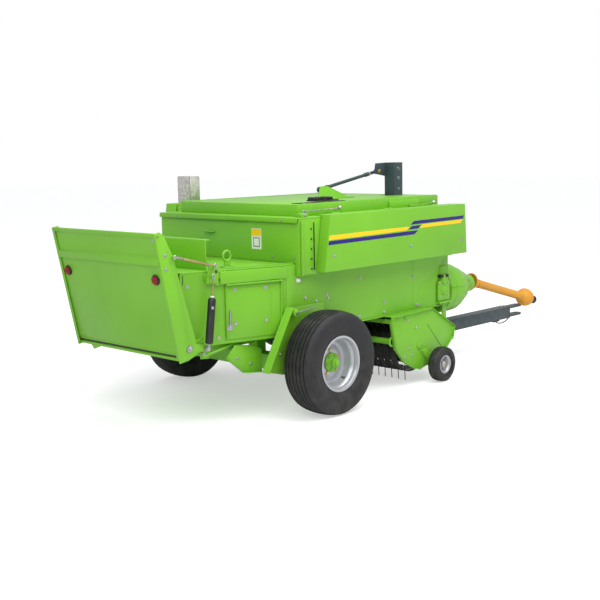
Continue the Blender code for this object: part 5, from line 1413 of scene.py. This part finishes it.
def floor_and_light():
    """A plain pale floor, a white backdrop, soft sky light and two lamps."""
    floor = bmesh.new()
    bmesh.ops.create_grid(floor, x_segments=2, y_segments=2, size=60)
    mesh = bpy.data.meshes.new("studio_floor")
    floor.to_mesh(mesh)
    floor.free()
    pale, shader, links = new_material("pale_floor", (0.9, 0.9, 0.9, 1))
    shader.inputs["Base Color"].default_value = (0.80, 0.80, 0.80, 1)
    shader.inputs["Emission Color"].default_value = (1, 1, 1, 1)
    nodes = pale.node_tree.nodes
    glow = nodes.new("ShaderNodeMath")
    glow.operation = "MULTIPLY"
    glow.inputs[1].default_value = FLOOR_GLOW
    links.new(nodes.new("ShaderNodeLightPath").outputs["Is Camera Ray"], glow.inputs[0])
    links.new(glow.outputs[0], shader.inputs["Emission Strength"])
    shader.inputs["Roughness"].default_value = 0.9
    shader.inputs["Specular IOR Level"].default_value = 0.1
    mesh.materials.append(pale)
    ground = bpy.data.objects.new("studio_floor", mesh)
    bpy.context.scene.collection.objects.link(ground)

    world = bpy.data.worlds.new("studio")
    world.use_nodes = True
    nodes, links = world.node_tree.nodes, world.node_tree.links
    nodes["Background"].inputs["Color"].default_value = (0.97, 0.98, 1, 1)
    nodes["Background"].inputs["Strength"].default_value = SKY_LIGHT
    backdrop = nodes.new("ShaderNodeBackground")
    backdrop.inputs["Color"].default_value = (1, 1, 1, 1)
    choice = nodes.new("ShaderNodeMixShader")
    links.new(nodes.new("ShaderNodeLightPath").outputs["Is Camera Ray"], choice.inputs[0])
    links.new(nodes["Background"].outputs[0], choice.inputs[1])
    links.new(backdrop.outputs[0], choice.inputs[2])
    links.new(choice.outputs[0], nodes["World Output"].inputs["Surface"])
    bpy.context.scene.world = world
    for name, at, target, size, power in LAMPS:
        light = bpy.data.lights.new(name, "AREA")
        light.energy = power
        light.size = size
        lamp = bpy.data.objects.new(name, light)
        lamp.location = at
        lamp.rotation_euler = (Vector(target) - Vector(at)).to_track_quat("-Z", "Y").to_euler()
        bpy.context.scene.collection.objects.link(lamp)
    bpy.context.scene.view_settings.view_transform = "Standard"


def studio_camera():
    """The camera behind the machine's right rear corner."""
    camera = bpy.data.cameras.new("studio_camera")
    camera.lens = CAMERA_LENS
    camera.sensor_width = 36
    camera.clip_end = 300
    eye = bpy.data.objects.new("studio_camera", camera)
    level = cos(CAMERA_PITCH)
    ahead = Vector((cos(CAMERA_YAW) * level, sin(CAMERA_YAW) * level, -sin(CAMERA_PITCH)))
    right = ahead.cross(Vector((0, 0, 1))).normalized()
    right = right * cos(CAMERA_ROLL) + right.cross(ahead) * sin(CAMERA_ROLL)
    upward = right.cross(ahead)
    turn = Matrix((right, upward, -ahead)).transposed().to_4x4()
    eye.matrix_world = Matrix.Translation(place(*CAMERA_PLACE)) @ turn
    bpy.context.scene.collection.objects.link(eye)
    bpy.context.scene.camera = eye


# Operators


class BALER_OT_paints(bpy.types.Operator):
    """Mixes the machine's paints, platings, rubbers and plastics"""
    bl_idname = "baler.paints"
    bl_label = "Mix Paints"

    def execute(self, context):
        mix_paints(context.scene.baler_paints)
        return {"FINISHED"}


class BALER_OT_body(bpy.types.Operator):
    """Makes the body's sheets"""
    bl_idname = "baler.body"
    bl_label = "Body Sheets"

    def execute(self, context):
        body_sheets()
        chamber_pieces()
        return {"FINISHED"}


class BALER_OT_fittings(bpy.types.Operator):
    """Adds the bolts, lips and small fittings of the body and the deck"""
    bl_idname = "baler.fittings"
    bl_label = "Body Fittings"

    def execute(self, context):
        for side, name in SIDES:
            side_details(side, name)
            door_details(side, name)
            link_brackets(side, name)
            leg_details(side, name)
        rear_details()
        deck_details()
        return {"FINISHED"}


class BALER_OT_wheels(bpy.types.Operator):
    """Makes the tyres, rims and hubs of the road wheels and the gauge wheels"""
    bl_idname = "baler.wheels"
    bl_label = "Wheels"

    def execute(self, context):
        for side, name in SIDES:
            wheel_pieces(side, name)
            gauge_pieces(side, name)
        return {"FINISHED"}


class BALER_OT_pickup(bpy.types.Operator):
    """Makes the pick-up's shields, bands, tube and tine reel"""
    bl_idname = "baler.pickup"
    bl_label = "Pick-up"

    def execute(self, context):
        for side, name in SIDES:
            shield_pieces(side, name)
        band_pieces()
        pickup_tube_piece()
        reel_pieces()
        return {"FINISHED"}


class BALER_OT_hoods(bpy.types.Operator):
    """Makes the side hoods with their stripes, and the marker plate"""
    bl_idname = "baler.hoods"
    bl_label = "Hoods"

    def execute(self, context):
        for side, name in SIDES:
            hood_piece(side, name)
        sign_piece()
        return {"FINISHED"}


class BALER_OT_ramp(bpy.types.Operator):
    """Makes the bale ramp with its lamps, stays and dampers"""
    bl_idname = "baler.ramp"
    bl_label = "Bale Ramp"

    def execute(self, context):
        ramp_pieces()
        for side, name in SIDES:
            stay_piece(side, name)
            strut_pieces(side, name)
        return {"FINISHED"}


class BALER_OT_lever(bpy.types.Operator):
    """Makes the needle lever, its link and its shaft"""
    bl_idname = "baler.lever"
    bl_label = "Needle Lever"

    def execute(self, context):
        lever_pieces()
        return {"FINISHED"}


class BALER_OT_driveline(bpy.types.Operator):
    """Makes the gearbox, the flywheel's guard and the drive shaft"""
    bl_idname = "baler.driveline"
    bl_label = "Driveline"

    def execute(self, context):
        guard_pieces()
        shaft_pieces()
        return {"FINISHED"}


class BALER_OT_drawbar(bpy.types.Operator):
    """Makes the drawbar with its clevis, and the parking jack"""
    bl_idname = "baler.drawbar"
    bl_label = "Drawbar"

    def execute(self, context):
        drawbar_pieces()
        return {"FINISHED"}


class BALER_OT_stage(bpy.types.Operator):
    """Sets up the floor, the studio light and the camera"""
    bl_idname = "baler.stage"
    bl_label = "Stage"

    def execute(self, context):
        floor_and_light()
        studio_camera()
        return {"FINISHED"}


STEPS = (BALER_OT_paints, BALER_OT_body, BALER_OT_fittings, BALER_OT_wheels, BALER_OT_pickup, BALER_OT_hoods,
         BALER_OT_ramp, BALER_OT_lever, BALER_OT_driveline, BALER_OT_drawbar, BALER_OT_stage)


class BALER_PT_sidebar(bpy.types.Panel):
    bl_label = "Square Baler"
    bl_idname = "BALER_PT_sidebar"
    bl_space_type = "VIEW_3D"
    bl_region_type = "UI"
    bl_category = "Baler"

    def draw(self, context):
        for step in STEPS:
            self.layout.operator(step.bl_idname)
        for group in (context.scene.baler_paints, context.scene.baler_sizes):
            column = self.layout.column()
            for label in group.bl_rna.properties.keys():
                if label not in ("rna_type", "name"):
                    column.prop(group, label)


CLASSES = (BalerPaints, BalerSizes, *STEPS, BALER_PT_sidebar)


def register():
    for kind in CLASSES:
        bpy.utils.register_class(kind)
    bpy.types.Scene.baler_paints = PointerProperty(type=BalerPaints)
    bpy.types.Scene.baler_sizes = PointerProperty(type=BalerSizes)


def unregister():
    del bpy.types.Scene.baler_sizes
    del bpy.types.Scene.baler_paints
    for kind in reversed(CLASSES):
        bpy.utils.unregister_class(kind)


def main():
    register()
    for step in STEPS:
        group, name = step.bl_idname.split(".")
        getattr(getattr(bpy.ops, group), name)()


if __name__ == "__main__":
    main()
